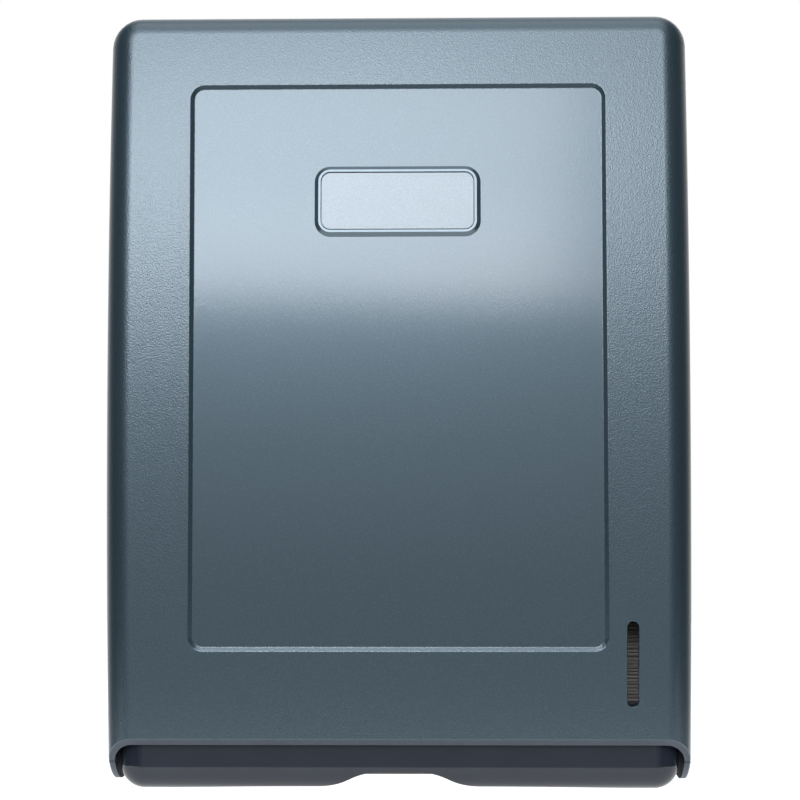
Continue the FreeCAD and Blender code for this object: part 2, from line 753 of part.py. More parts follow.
def back_plate():
    body = new_body("back_plate_body")
    half = f"({HALF_INSIDE} - plate_side_gap)"
    top = f"({INSIDE_TOP} - plate_top_gap)"
    outline = rounded(half, "plate_bottom", top, "plate_corner_radius")
    feature(body, "Pad", "plate_sheet", sketch_on("XZ_Plane", "plate_sheet_outline", [outline], body=body),
            "plate_thickness")

    rim_half = f"({half} - plate_rim_inset)"
    rim_low, rim_top = "(pivot_height + hinge_ear_root + plate_rim_ear_gap)", f"({top} - plate_rim_inset)"
    rim_radius = "(plate_corner_radius - plate_rim_inset)"
    outer = rounded(rim_half, rim_low, rim_top, rim_radius)
    inner = rounded(f"({rim_half} - plate_rim_width)", f"({rim_low} + plate_rim_width)",
                    f"({rim_top} - plate_rim_width)", f"({rim_radius} - plate_rim_width)")
    rim = sketch_on("XZ_Plane", "plate_rim_outline", [outer, inner], body=body)
    feature(body, "Pad", "plate_rim", rim, "plate_thickness + plate_rim_height")
    gap = rectangle(f"(0 - {rim_half} + plate_rim_width)", f"({rim_low} - {OVER})",
                    f"({rim_half} - plate_rim_width)", f"({rim_low} + plate_rim_width)")
    tray_gap = sketch_on("XZ_Plane", "plate_tray_gap", [gap], body=body, offset="plate_thickness")
    feature(body, "Pocket", "plate_rim_gap", tray_gap, "plate_rim_height", away=True)

    ribs = []
    for step in (-2, -1, 0, 1, 2):
        middle = f"({step} * rib_pitch)"
        left, right = f"({middle} - rib_width / 2)", f"({middle} + rib_width / 2)"
        ribs.append(rectangle(left, "rib_bottom", right, RIB_TOP))
    feature(body, "Pad", "plate_ribs", sketch_on("XZ_Plane", "plate_rib_outline", ribs, body=body),
            "stack_from_wall - stack_gap")

    holes = []
    for across in ("(0 - wall_hole_spacing_x / 2)", "(wall_hole_spacing_x / 2)"):
        for height in ("(hole_centre_height - wall_hole_spacing_z / 2)",
                       "(hole_centre_height + wall_hole_spacing_z / 2)"):
            holes.append((across, height))
    bosses = [(x, z, "wall_boss_radius") for x, z in holes]
    feature(body, "Pad", "wall_bosses", sketch_on("XZ_Plane", "wall_boss_outline", circles=bosses, body=body),
            "plate_thickness + wall_boss_height")

    ear = [
        ("-plate_thickness / 2", "pivot_height - hinge_ear_root"),
        ("-plate_thickness / 2", "pivot_height + hinge_ear_root"),
        ("-plate_thickness", "pivot_height + hinge_ear_root"),
        ("-pivot_from_wall", "pivot_height + hinge_ear_radius"),
        ("-pivot_from_wall - hinge_ear_radius", "pivot_height", "hinge_ear_radius", 1),
        ("-pivot_from_wall", "pivot_height - hinge_ear_radius", "hinge_ear_radius", 1),
        ("-plate_thickness", "pivot_height - hinge_ear_root"),
    ]
    for side, start in ((1, EAR_INSIDE), (-1, f"(0 - {EAR_OUTSIDE})")):
        sketch = sketch_on("YZ_Plane", f"ear_outline_{side}", [ear], body=body, offset=start)
        feature(body, "Pad", f"hinge_ear_{side}", sketch, "hinge_ear_thickness")

    wall_holes = [(x, z, "wall_hole_radius") for x, z in holes]
    sketch = sketch_on("XZ_Plane", "wall_hole_outline", circles=wall_holes, body=body)
    feature(body, "Pocket", "wall_holes", sketch, "plate_thickness + wall_boss_height", away=True)
    threads = [(x, z, "screw_radius + screw_gap") for places in screw_places().values() for x, z, _ in places]
    sketch = sketch_on("XZ_Plane", "screw_hole_outline", circles=threads, body=body)
    feature(body, "Pocket", "screw_holes", sketch, "plate_thickness", away=True)
    pin_hole = sketch_on("YZ_Plane", "pin_hole_outline", body=body,
                         circles=[("-pivot_from_wall", "pivot_height", "pin_radius + pin_seat_gap")])
    feature(body, "Pocket", "pin_holes", pin_hole, "case_width", both=True)
    return finish(body, "back_plate")


# Discharge tray
TRAY_HALF = f"({HALF_INSIDE} - tray_side_gap)"
TRAY_FRONT = f"(0 - {face_y('lip_height', 'cover_wall')} - tray_front_gap)"
TRAY_SHOULDER = "(pivot_from_wall + hinge_ear_radius + tray_shoulder_gap)"
TRAY_REAR_HALF = f"({CLIP_INSIDE} - pin_tail - tray_ear_gap)"


def tray_block(name, inset, floor, top):
    """The wide block ahead of the hinge ears and the narrow one between them, rounded below."""
    chin, rear = f"(chin_radius - {inset})", f"(tray_rear_radius - {inset})"
    wide = box(f"{name}_wide", f"2 * ({TRAY_HALF} - {inset})",
               f"{TRAY_FRONT} - {TRAY_SHOULDER} - 2 * {inset}", f"{top} - {floor}",
               x=f"-({TRAY_HALF} - {inset})", y=f"-({TRAY_FRONT} - {inset})", z=floor)
    narrow = box(f"{name}_narrow", f"2 * ({TRAY_REAR_HALF} - {inset})",
                 f"{TRAY_SHOULDER} - plate_thickness - {inset} + tray_wall",
                 f"{top} - {floor}", x=f"-({TRAY_REAR_HALF} - {inset})",
                 y=f"-{TRAY_SHOULDER} - tray_wall", z=floor)
    front, low = value(f"{inset} - {TRAY_FRONT}"), value(floor)
    half, rear_half = value(f"{TRAY_HALF} - {inset}"), value(f"{TRAY_REAR_HALF} - {inset}")

    def chin_edge(point):
        sides = (abs(point.y - front), abs(abs(point.x) - half), abs(point.z - low))
        return sum(side < NEAR for side in sides) >= 2

    def rear_edge(point):
        return abs(abs(point.x) - rear_half) < NEAR and abs(point.z - low) < NEAR

    return fuse(f"{name}_block", soften(f"{name}_chin", wide, chin, chin_edge),
                soften(f"{name}_rear", narrow, rear, rear_edge))


def tray_arch():
    """The very shallow arch of the tray's lower edge, over its whole depth."""
    foot, half = "notch_half_width", f"({TRAY_HALF} - chin_radius)"
    radius = f"((({half} - {foot})^2 + arch_rise^2) / (2 * arch_rise))"
    outline = [
        (f"(0 - {half})", f"-{OVER}"),
        (half, f"-{OVER}"),
        (half, "0"),
        (foot, "arch_rise", radius, 1),
        (f"(0 - {foot})", "arch_rise"),
        (f"(0 - {half})", "0", radius, 1),
    ]
    return extrude("tray_arch", sketch_on("XZ_Plane", "arch", [outline]), f"case_depth + {OVER}")


def tray_notch():
    """The finger notch: a low rise with S-shaped shoulders, from the chin's front to the throat."""
    run, rise = "(notch_half_width - notch_half_flat)", "(notch_top - arch_rise)"
    radius = f"(({run}^2 + {rise}^2) / (4 * {rise}))"
    middle, height = "((notch_half_width + notch_half_flat) / 2)", "((notch_top + arch_rise) / 2)"
    outline = [
        ("(0 - notch_half_width)", f"-{OVER}"),
        ("notch_half_width", f"-{OVER}"),
        ("notch_half_width", "arch_rise"),
        (middle, height, radius, -1),
        ("notch_half_flat", "notch_top", radius, 1),
        ("(0 - notch_half_flat)", "notch_top"),
        (f"(0 - {middle})", height, radius, 1),
        ("(0 - notch_half_width)", "arch_rise", radius, -1),
    ]
    sketch = sketch_on("XZ_Plane", "notch", [outline], offset=THROAT_MIDDLE)
    return extrude("tray_notch", sketch, f"case_depth - {THROAT_MIDDLE}")


def tray_throat():
    """The mouth in the floor that the towels are pulled out of."""
    outline = rounded(f"({STACK_HALF} - throat_end_ledge)", f"(0 - {THROAT_MIDDLE} - {THROAT_HALF_DEPTH})",
                      f"(0 - {THROAT_MIDDLE} + {THROAT_HALF_DEPTH})", "throat_corner_radius")
    sketch = sketch_on("XY_Plane", "throat", [outline], offset=f"-{OVER}")
    return extrude("tray_throat", sketch, f"tray_floor + {2 * OVER}")


def discharge_tray():
    outside = tray_block("tray_outer", "0", "0", "tray_height")
    inside = tray_block("tray_inner", "tray_wall", "tray_floor", f"(tray_height + {OVER})")
    shell = cut("tray_shell", outside, inside)
    rail_half = f"({STACK_HALF} - rail_end_gap)"
    rails = []
    for side in (-1, 1):
        across = f"(0 - {THROAT_MIDDLE} + {side} * ({THROAT_HALF_DEPTH} + {STACK_DEPTH} / 2) / 2)"
        rails.append(box(f"rail_{side}", f"2 * {rail_half}", "rail_width", "rail_height + tray_floor / 2",
                         x=f"-{rail_half}", y=f"{across} - rail_width / 2", z="tray_floor / 2"))
    holes = []
    for number, (x, z, _) in enumerate(screw_places()["tray_screws"]):
        holes.append(cylinder(f"tray_hole_{number}", "screw_radius + screw_gap",
                              f"plate_thickness + tray_wall + {OVER}", x=x, z=z, axis=(1, 0, 0), angle="90"))
    railed = fuse("tray_with_rails", shell, *rails)
    whole = cut("tray", railed, tray_arch(), tray_notch(), tray_throat(), *holes)
    return finish(whole, "discharge_tray")


# Towels and their guides
def towel_stack():
    stack = box("stack", f"2 * {STACK_HALF}", STACK_DEPTH, f"case_height - stack_top_gap - {STACK_BOTTOM}")
    return finish(stack, "towel_stack", x=f"-{STACK_HALF}", y=f"-{STACK_FRONT}", z=STACK_BOTTOM)


def stack_guide(name, side):
    """A cheek beside the stack, with a foot on the back plate and a low return in front."""
    body = new_body(name + "_body")
    inside, outside = GUIDE_INSIDE, f"({GUIDE_INSIDE} + guide_wall)"
    front = f"({STACK_FRONT} + stack_gap + guide_wall)"
    foot = "(plate_thickness + guide_wall)"

    def flip(outline):
        """The right guide's outline, or its mirror image for the left one."""
        if side > 0:
            return outline
        return [(f"(0 - {x})", y) for x, y in reversed(outline)]

    angle = [
        (inside, f"(0 - {front})"),
        (outside, f"(0 - {front})"),
        (outside, f"(0 - {foot})"),
        (f"({outside} + guide_flange)", f"(0 - {foot})"),
        (f"({outside} + guide_flange)", "(0 - plate_thickness)"),
        (inside, "(0 - plate_thickness)"),
    ]
    sketch = sketch_on("XY_Plane", name + "_angle", [flip(angle)], body=body, offset="guide_bottom")
    feature(body, "Pad", name + "_cheek", sketch, f"{GUIDE_TOP} - guide_bottom")
    lip = rectangle(f"({inside} - guide_return)", f"(0 - {front})", inside, f"(0 - {front} + guide_wall)")
    sketch = sketch_on("XY_Plane", name + "_lip", [flip(lip)], body=body, offset="guide_return_bottom")
    feature(body, "Pad", name + "_return", sketch, f"{GUIDE_TOP} - guide_return_bottom")
    holes = []
    for x, z, _ in screw_places()["guide_screws"]:
        if x.startswith(f"({side} "):
            holes.append((x, z, "screw_radius + screw_gap"))
    sketch = sketch_on("XZ_Plane", name + "_holes", circles=holes, body=body, offset="plate_thickness")
    feature(body, "Pocket", name + "_screw_holes", sketch, "guide_wall", away=True)
    return finish(body, name)


# Lock and keeper
def lock_barrel():
    """The fixed sleeve: a flange sunk in the top wall, and a bore for the plug."""
    body = new_body("lock_barrel_body")
    under = "(0 - lock_flange_sink - lock_flange_thickness)"
    bore, pocket = "(plug_radius + plug_running_gap)", "(plug_head_radius + plug_running_gap)"
    shelf = "(0 - lock_flange_sink - plug_head_thickness - plug_running_gap)"
    profile = [
        (bore, f"({under} - barrel_length)"),
        ("barrel_radius", f"({under} - barrel_length)"),
        ("barrel_radius", under),
        ("lock_flange_radius", under),
        ("lock_flange_radius", "(0 - lock_flange_sink)"),
        (pocket, "(0 - lock_flange_sink)"),
        (pocket, shelf),
        (bore, shelf),
    ]
    sketch = sketch_on("XZ_Plane", "barrel_profile", [profile], body=body)
    sleeve = body.newObject("PartDesign::Revolution", "barrel_turned")
    sleeve.Profile = sketch
    sleeve.ReferenceAxis = (sketch, ["V_Axis"])
    sleeve.Angle = 360
    doc.recompute()
    return finish(body, "lock_barrel", **LOCK_PLACE)


def lock_washer():
    body = new_body("lock_washer_body")
    rings = [("0", "0", "washer_radius"), ("0", "0", "barrel_radius + barrel_hole_gap")]
    sketch = sketch_on("XY_Plane", "washer_outline", circles=rings, body=body,
                       offset="-cover_wall - washer_thickness")
    feature(body, "Pad", "washer", sketch, "washer_thickness")
    return finish(body, "lock_washer", **LOCK_PLACE)


def lock_nut():
    body = new_body("lock_nut_body")
    point = "(nut_across_flats / sqrt(3))"
    corners = [(f"{point} * cos({60 * step})", f"{point} * sin({60 * step})") for step in range(6)]
    under = "(0 - cover_wall - washer_thickness - nut_thickness)"
    sketch = sketch_on("XY_Plane", "nut_outline", [corners], [("0", "0", "barrel_radius + pin_seat_gap")],
                       body=body, offset=under)
    feature(body, "Pad", "nut", sketch, "nut_thickness")
    return finish(body, "lock_nut", **LOCK_PLACE)


def lock_plug():
    body = new_body("lock_plug_body")
    top = "(0 - lock_flange_sink)"
    low = f"({CAM_TOP} - case_height)"
    profile = [
        ("0", low),
        ("plug_radius", low),
        ("plug_radius", f"({top} - plug_head_thickness)"),
        ("plug_head_radius", f"({top} - plug_head_thickness)"),
        ("plug_head_radius", top),
        ("0", top),
    ]
    sketch = sketch_on("XZ_Plane", "plug_profile", [profile], body=body)
    plug = body.newObject("PartDesign::Revolution", "plug_turned")
    plug.Profile = sketch
    plug.ReferenceAxis = (sketch, ["V_Axis"])
    plug.Angle = 360
    keyway = rectangle("(0 - keyway_length / 2)", "(0 - keyway_width / 2)", "(keyway_length / 2)",
                       "(keyway_width / 2)")
    sketch = sketch_on("XY_Plane", "keyway_outline", [keyway], body=body, offset=top)
    feature(body, "Pocket", "keyway", sketch, "keyway_depth")
    thread = sketch_on("XY_Plane", "plug_thread_outline", body=body, offset=low,
                       circles=[("0", "0", "cam_screw_radius + screw_gap")])
    feature(body, "Pocket", "plug_thread", thread,
            "cam_screw_length - cam_thickness + screw_end_gap", away=True)
    return finish(body, "lock_plug", **LOCK_PLACE)


def lock_cam():
    """A flat arm that points at the wall when unlocked, and behind the keeper a quarter turn on."""
    body = new_body("lock_cam_body")
    half = "(cam_width / 2)"
    nose = "cam_nose_radius"
    outline = [
        (half, "0", half, 1),
        (half, f"(cam_length - {nose})"),
        (f"({half} - {nose})", "cam_length", nose, 1),
        (f"({nose} - {half})", "cam_length"),
        (f"(0 - {half})", f"(cam_length - {nose})", nose, 1),
        (f"(0 - {half})", "0"),
        ("0", f"(0 - {half})", half, 1),
    ]
    sketch = sketch_on("XY_Plane", "cam_outline", [outline], [("0", "0", "cam_screw_radius + screw_gap")],
                       body=body, offset=f"{CAM_BOTTOM} - case_height")
    feature(body, "Pad", "cam", sketch, "cam_thickness")
    return finish(body, "lock_cam", **LOCK_PLACE)


def screw(name, radius, length):
    """A screw standing on z = 0 under its head, with a crowned head above and the shank below."""
    crown = "((screw_head_radius^2 + screw_head_height^2) / (2 * screw_head_height))"
    profile = [
        ("0", f"(0 - {length})"),
        (radius, f"(0 - {length})"),
        (radius, "0"),
        ("screw_head_radius", "0"),
        ("0", "screw_head_height", crown, 1),
    ]
    return sketch_on("XZ_Plane", name, [profile])


def cam_screw():
    solid = turned("cam_screw", screw("cam_screw_profile", "cam_screw_radius", "cam_screw_length"))
    return finish(solid, "cam_screw", y="-lock_from_wall", z=CAM_BOTTOM, axis=(1, 0, 0), angle="180")


def lock_keeper():
    """One bent steel strip: a foot on the back plate, an arm forward and a tab standing up."""
    body = new_body("lock_keeper_body")
    foot, skin = "(0 - plate_thickness)", "keeper_sheet"
    front, arm = f"(0 - {KEEPER_FRONT})", KEEPER_ARM
    low = f"({arm} - keeper_base)"
    outline = [
        (foot, low),
        (foot, arm),
        (f"({front} + {skin})", arm),
        (f"({front} + {skin})", KEEPER_TOP),
        (front, KEEPER_TOP),
        (front, f"({arm} - {skin})"),
        (f"({foot} - {skin})", f"({arm} - {skin})"),
        (f"({foot} - {skin})", low),
    ]
    sketch = sketch_on("YZ_Plane", "keeper_outline", [outline], body=body, offset=KEEPER_LEFT)
    feature(body, "Pad", "keeper_strip", sketch, "keeper_width")
    holes = [(x, z, "screw_radius + screw_gap") for x, z, _ in screw_places()["keeper_screws"]]
    sketch = sketch_on("XZ_Plane", "keeper_hole_outline", circles=holes, body=body, offset="plate_thickness")
    feature(body, "Pocket", "keeper_holes", sketch, "keeper_sheet", away=True)
    return finish(body, "lock_keeper")


def plate_screws(name):
    """One group of like screws in the back plate, each as its own solid."""
    places = screw_places()[name]
    profile = screw(name + "_profile", "screw_radius", f"({places[0][2]} - screw_end_gap)")
    solids = []
    for number, (x, z, face) in enumerate(places):
        solid = turned(f"{name}_{number}", profile)
        solids.append(move(solid, x=x, y=f"-{face}", z=z, axis=(1, 0, 0), angle="90"))
    return finish(group(name, *solids), name)


# The assembly, from the wall outwards
back_plate()
discharge_tray()
plate_screws("tray_screws")
stack_guide("stack_guide_left", -1)
stack_guide("stack_guide_right", 1)
plate_screws("guide_screws")
towel_stack()
lock_keeper()
plate_screws("keeper_screws")
hinge_pin("hinge_pin_left", -1)
hinge_pin("hinge_pin_right", 1)
hinge_clips()
front_cover()
badge_frame()
badge_plate()
badge_push_nuts()
lock_barrel()
lock_washer()
lock_nut()
lock_plug()
lock_cam()
cam_screw()
doc.recompute()

# Everything is checked before anything is written
faults = [f"{thing.Name}: {thing.State}" for thing in doc.Objects if {"Invalid", "Error"} & set(thing.State)]
for piece in pieces:
    if piece.Shape.isNull() or not piece.Shape.isValid():
        faults.append(f"{piece.Label}: shape is null or not valid")
if faults:
    raise RuntimeError("; ".join(faults))
os.makedirs("parts", exist_ok=True)
for piece in pieces:
    piece.Shape.exportStep(f"parts/{piece.Label}.step")
    print(f"{piece.Label:20s} solids {len(piece.Shape.Solids)}  volume {piece.Shape.Volume:12.1f}")
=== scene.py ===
import math
import random

import bpy
from mathutils import Matrix, Vector
from mathutils.geometry import delaunay_2d_cdt


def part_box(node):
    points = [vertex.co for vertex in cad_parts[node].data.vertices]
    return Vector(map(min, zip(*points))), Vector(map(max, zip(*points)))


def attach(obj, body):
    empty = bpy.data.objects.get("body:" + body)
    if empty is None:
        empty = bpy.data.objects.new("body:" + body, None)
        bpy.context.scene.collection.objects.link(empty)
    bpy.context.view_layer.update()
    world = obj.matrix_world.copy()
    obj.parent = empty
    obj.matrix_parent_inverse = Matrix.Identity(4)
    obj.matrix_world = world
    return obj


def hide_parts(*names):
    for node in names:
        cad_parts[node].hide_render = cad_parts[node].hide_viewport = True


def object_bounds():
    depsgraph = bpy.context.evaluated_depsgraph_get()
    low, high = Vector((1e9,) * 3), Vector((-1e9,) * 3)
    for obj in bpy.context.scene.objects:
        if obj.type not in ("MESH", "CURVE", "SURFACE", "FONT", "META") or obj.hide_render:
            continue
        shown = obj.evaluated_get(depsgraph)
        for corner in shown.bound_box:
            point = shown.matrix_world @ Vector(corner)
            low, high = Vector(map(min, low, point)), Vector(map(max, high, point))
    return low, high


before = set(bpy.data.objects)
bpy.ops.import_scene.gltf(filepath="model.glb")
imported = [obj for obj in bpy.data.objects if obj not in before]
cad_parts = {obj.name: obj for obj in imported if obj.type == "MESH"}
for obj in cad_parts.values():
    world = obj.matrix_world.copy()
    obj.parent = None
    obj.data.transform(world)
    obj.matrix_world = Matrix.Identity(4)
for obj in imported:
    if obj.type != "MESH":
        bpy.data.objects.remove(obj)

cad_box = [list(corner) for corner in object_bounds()]
FRONT, BASE = cad_box[0][1], cad_box[0][2]

# Camera
# A product view from one metre in front of the face, level with the middle of the case and a
# degree to its right, through a long lens. The shift puts the case where the photograph has it.
CAMERA_DISTANCE = 1.0
CAMERA_HEIGHT = 0.1872
CAMERA_TURN = math.radians(1.18)
CAMERA_ROLL = math.radians(-0.12)
CAMERA_LENS = 95.07
CAMERA_SHIFT = 0.0031

scene = bpy.context.scene
scene.view_settings.view_transform = "Standard"
camera_data = bpy.data.cameras.new("camera")
camera_data.lens = CAMERA_LENS
camera_data.shift_x = CAMERA_SHIFT
camera = bpy.data.objects.new("camera", camera_data)
scene.collection.objects.link(camera)
camera.matrix_world = (
    Matrix.Translation((0, FRONT, BASE + CAMERA_HEIGHT))
    @ Matrix.Rotation(CAMERA_TURN, 4, "Z")
    @ Matrix.Translation((0, -CAMERA_DISTANCE, 0))
    @ Matrix.Rotation(math.radians(90), 4, "X")
    @ Matrix.Rotation(CAMERA_ROLL, 4, "Z")
)
scene.camera = camera

# White floor and studio room
# The case hangs over a white floor, with room below it for the open cover, before a white backdrop.
# The room is dim at the sides and below, which shapes the gloss; matt surfaces get some light there.
FLOOR_FRONT = FRONT - 0.35
FLOOR_DEPTH = 2.2
FLOOR_HALF_WIDTH = 0.6
FLOOR_DROP = 0.112
FLOOR_GREY = 0.7
FLOOR_LIFT = 0.82
ROOM_TINT = (0.87, 0.94, 1.0, 1)
ROOM_LIGHT = 0.74
ROOM_SIDE = 0.06
ROOM_SIDE_FILL = 0.22
ROOM_SIDE_FROM = 0.08
ROOM_SIDE_TO = 0.62
ROOM_BELOW = 0.7
ROOM_BELOW_FROM = 0.03
ROOM_BELOW_TO = -0.12
BACKDROP_FROM = 0.0
BACKDROP_TO = 1.0
BACKDROP_LOW = 0.3
BACKDROP_HIGH = 0.75
BACKDROP_GLOSS = 0.7


def add_node(tree, kind, **settings):
    """A node with its settings: keys name a property or, where there is none, an input."""
    node = tree.nodes.new("ShaderNode" + kind)
    for key, setting in settings.items():
        if hasattr(node, key):
            setattr(node, key, setting)
        else:
            node.inputs[key.replace("_", " ")].default_value = setting
    return node


def empty_tree(holder):
    holder.use_nodes = True
    holder.node_tree.nodes.clear()
    return holder.node_tree


def math_node(tree, operation, *operands):
    """The output of a Math node whose operands are numbers or other nodes' outputs."""
    node = add_node(tree, "Math", operation=operation)
    for socket, operand in zip(node.inputs, operands):
        if isinstance(operand, (int, float)):
            socket.default_value = operand
        else:
            tree.links.new(operand, socket)
    return node.outputs[0]


def lay_floor():
    """Matt white. Its lift shows to the camera, in gloss and through glass, and lights nothing."""
    tree = empty_tree(floor_white)
    matt = add_node(tree, "BsdfDiffuse", Color=(FLOOR_GREY, FLOOR_GREY, FLOOR_GREY, 1))
    glow = add_node(tree, "Emission")
    both = add_node(tree, "AddShader")
    out = add_node(tree, "OutputMaterial")
    path = add_node(tree, "LightPath")
    seen = math_node(tree, "MAXIMUM", path.outputs["Is Camera Ray"], path.outputs["Is Glossy Ray"])
    seen = math_node(tree, "MAXIMUM", seen, path.outputs["Is Transmission Ray"])
    tree.links.new(math_node(tree, "MULTIPLY", seen, FLOOR_LIFT), glow.inputs["Strength"])
    tree.links.new(matt.outputs[0], both.inputs[0])
    tree.links.new(glow.outputs[0], both.inputs[1])
    tree.links.new(both.outputs[0], out.inputs["Surface"])


floor_white = bpy.data.materials.new("floor_white")
lay_floor()
floor_mesh = bpy.data.meshes.new("floor")
floor_rows = ((FLOOR_FRONT, (-1, 1)), (FLOOR_FRONT + FLOOR_DEPTH, (1, -1)))
floor_height = BASE - FLOOR_DROP
floor_corners = [(side * FLOOR_HALF_WIDTH, y, floor_height) for y, sides in floor_rows for side in sides]
floor_mesh.from_pydata(floor_corners, [], [(0, 1, 2, 3)])
floor_mesh.materials.append(floor_white)
floor = bpy.data.objects.new("floor", floor_mesh)
scene.collection.objects.link(floor)


def light_room():
    """The camera and glass see white. Gloss sees a dim room with a white backdrop behind the case,
    and matt surfaces see that dim room with lighter sides."""
    tree = empty_tree(scene.world)
    direction = add_node(tree, "SeparateXYZ")
    tree.links.new(add_node(tree, "TexCoord").outputs["Generated"], direction.inputs[0])

    def fade(value, start, end, low, high):
        node = add_node(tree, "MapRange", interpolation_type="SMOOTHSTEP", From_Min=start, From_Max=end,
                        To_Min=low, To_Max=high)
        tree.links.new(value, node.inputs["Value"])
        return node.outputs[0]

    path = add_node(tree, "LightPath")
    sideways = math_node(tree, "ABSOLUTE", direction.outputs["X"])
    sides = fade(sideways, ROOM_SIDE_FROM, ROOM_SIDE_TO, ROOM_LIGHT, ROOM_SIDE)
    matt_sides = math_node(tree, "MULTIPLY", path.outputs["Is Diffuse Ray"], ROOM_SIDE_FILL)
    sides = math_node(tree, "MAXIMUM", sides, matt_sides)
    below = fade(direction.outputs["Z"], ROOM_BELOW_TO, ROOM_BELOW_FROM, ROOM_BELOW, 1.0)
    behind = fade(direction.outputs["Y"], BACKDROP_FROM, BACKDROP_TO, 0.0, 1.0)
    low_down = fade(direction.outputs["Z"], BACKDROP_LOW, BACKDROP_HIGH, BACKDROP_GLOSS, 0.0)
    backdrop = math_node(tree, "MULTIPLY", behind, low_down)
    seen = math_node(tree, "MULTIPLY", path.outputs["Is Glossy Ray"], backdrop)
    seen = math_node(tree, "MAXIMUM", seen, path.outputs["Is Camera Ray"])
    seen = math_node(tree, "MAXIMUM", seen, path.outputs["Is Transmission Ray"])
    room = add_node(tree, "Background", Color=ROOM_TINT)
    white = add_node(tree, "Background", Color=(1, 1, 1, 1))
    pick = add_node(tree, "MixShader")
    out = add_node(tree, "OutputWorld")
    tree.links.new(math_node(tree, "MULTIPLY", sides, below), room.inputs["Strength"])
    tree.links.new(seen, pick.inputs[0])
    tree.links.new(room.outputs[0], pick.inputs[1])
    tree.links.new(white.outputs[0], pick.inputs[2])
    tree.links.new(pick.outputs[0], out.inputs["Surface"])


scene.world = bpy.data.worlds.new("studio_room")
light_room()

# Lamps
# A softbox stands above the face and a little to the left; its foot, which a strip brightens, shows
# as the soft step in the cover's gloss. A wide sheet and a lamp overhead fade the gloss at the edges.
LAMP_AIM = Vector((0, FRONT, BASE + 0.24))
SOFTBOX_AZIMUTH = -8
LIGHT_FOOT = 12.7
SOFTBOX_DISTANCE = 2.0
SOFTBOX_HALF_WIDTH = 13.5
SOFTBOX_HALF_HEIGHT = 10.5
SOFTBOX_RADIANCE = 4.6
STRIP_DISTANCE = 1.95
STRIP_HALF_HEIGHT = 4.2
STRIP_RADIANCE = 1.2
SHEET_DISTANCE = 2.2
SHEET_HALF_WIDTH = 24
SHEET_HALF_HEIGHT = 20
SHEET_RADIANCE = 2.2
STUDIO_TINT = (0.93, 0.955, 1.0)
OVERHEAD_ELEVATION = 80
OVERHEAD_DISTANCE = 1.6
OVERHEAD_HALF_WIDTH = 26
OVERHEAD_HALF_DEPTH = 20
OVERHEAD_RADIANCE = 0.8


def hang_lamp(name, azimuth, elevation, distance, half_angles, radiance, tint):
    """A soft panel at a direction from the case, as wide and high as its half angles in degrees."""
    around, up = math.radians(azimuth), math.radians(elevation)
    away = Vector((math.sin(around) * math.cos(up), -math.cos(around) * math.cos(up), math.sin(up)))
    lamp = bpy.data.lights.new(name, "AREA")
    lamp.shape = "RECTANGLE"
    lamp.size = 2 * distance * math.tan(math.radians(half_angles[0]))
    lamp.size_y = 2 * distance * math.tan(math.radians(half_angles[1]))
    lamp.energy = radiance * math.pi * lamp.size * lamp.size_y
    lamp.color = tint
    holder = bpy.data.objects.new(name, lamp)
    holder.location = LAMP_AIM + away * distance
    holder.rotation_euler = away.to_track_quat("Z", "Y").to_euler()
    scene.collection.objects.link(holder)


hang_lamp("softbox", SOFTBOX_AZIMUTH, LIGHT_FOOT + SOFTBOX_HALF_HEIGHT, SOFTBOX_DISTANCE,
          (SOFTBOX_HALF_WIDTH, SOFTBOX_HALF_HEIGHT), SOFTBOX_RADIANCE, STUDIO_TINT)
hang_lamp("strip", SOFTBOX_AZIMUTH, LIGHT_FOOT + STRIP_HALF_HEIGHT, STRIP_DISTANCE,
          (SOFTBOX_HALF_WIDTH, STRIP_HALF_HEIGHT), STRIP_RADIANCE, STUDIO_TINT)
hang_lamp("sheet", SOFTBOX_AZIMUTH, LIGHT_FOOT + SHEET_HALF_HEIGHT, SHEET_DISTANCE,
          (SHEET_HALF_WIDTH, SHEET_HALF_HEIGHT), SHEET_RADIANCE, STUDIO_TINT)
hang_lamp("overhead", 0, OVERHEAD_ELEVATION, OVERHEAD_DISTANCE,
          (OVERHEAD_HALF_WIDTH, OVERHEAD_HALF_DEPTH), OVERHEAD_RADIANCE, STUDIO_TINT)

# Back plate
# The moulded base that the wall screws hold, with stiffening ribs and a rim. Dark grey plastic with
# a fine matt grain; the hinge ears are part of it.
BASE_GREY = (0.045, 0.05, 0.056)
NOISE_LOW = 0.3
NOISE_HIGH = 0.7
MOULD_CLOUD_SIZE = 0.02
MOULD_CLOUD = 0.07
MOULD_GLOSS_SIZE = 0.006
MOULD_GLOSS = 0.1


def tune(tree, value, low, high):
    """A noise texture's value, most of which lies near the middle, brought to a range."""
    node = add_node(tree, "MapRange", From_Min=NOISE_LOW, From_Max=NOISE_HIGH, To_Min=low, To_Max=high)
    tree.links.new(value, node.inputs["Value"])
    return node.outputs[0]


def texture(tree, kind, size, stretch=(1, 1, 1), **settings):
    """A texture's value over the piece, with features of a size in metres, stretched along the axes."""
    place = add_node(tree, "TexCoord")
    scaled = add_node(tree, "Mapping", Scale=[1 / (size * part) for part in stretch])
    pattern = add_node(tree, kind, Scale=1.0, **settings)
    tree.links.new(place.outputs["Object"], scaled.inputs["Vector"])
    tree.links.new(scaled.outputs[0], pattern.inputs["Vector"])
    return pattern.outputs[0]


def shade(tree, shader, base, value):
    """The base colour, made lighter and darker by a value about 1."""
    tint = add_node(tree, "VectorMath", operation="SCALE")
    tint.inputs[0].default_value = base
    tree.links.new(value, tint.inputs["Scale"])
    tree.links.new(tint.outputs[0], shader.inputs["Base Color"])


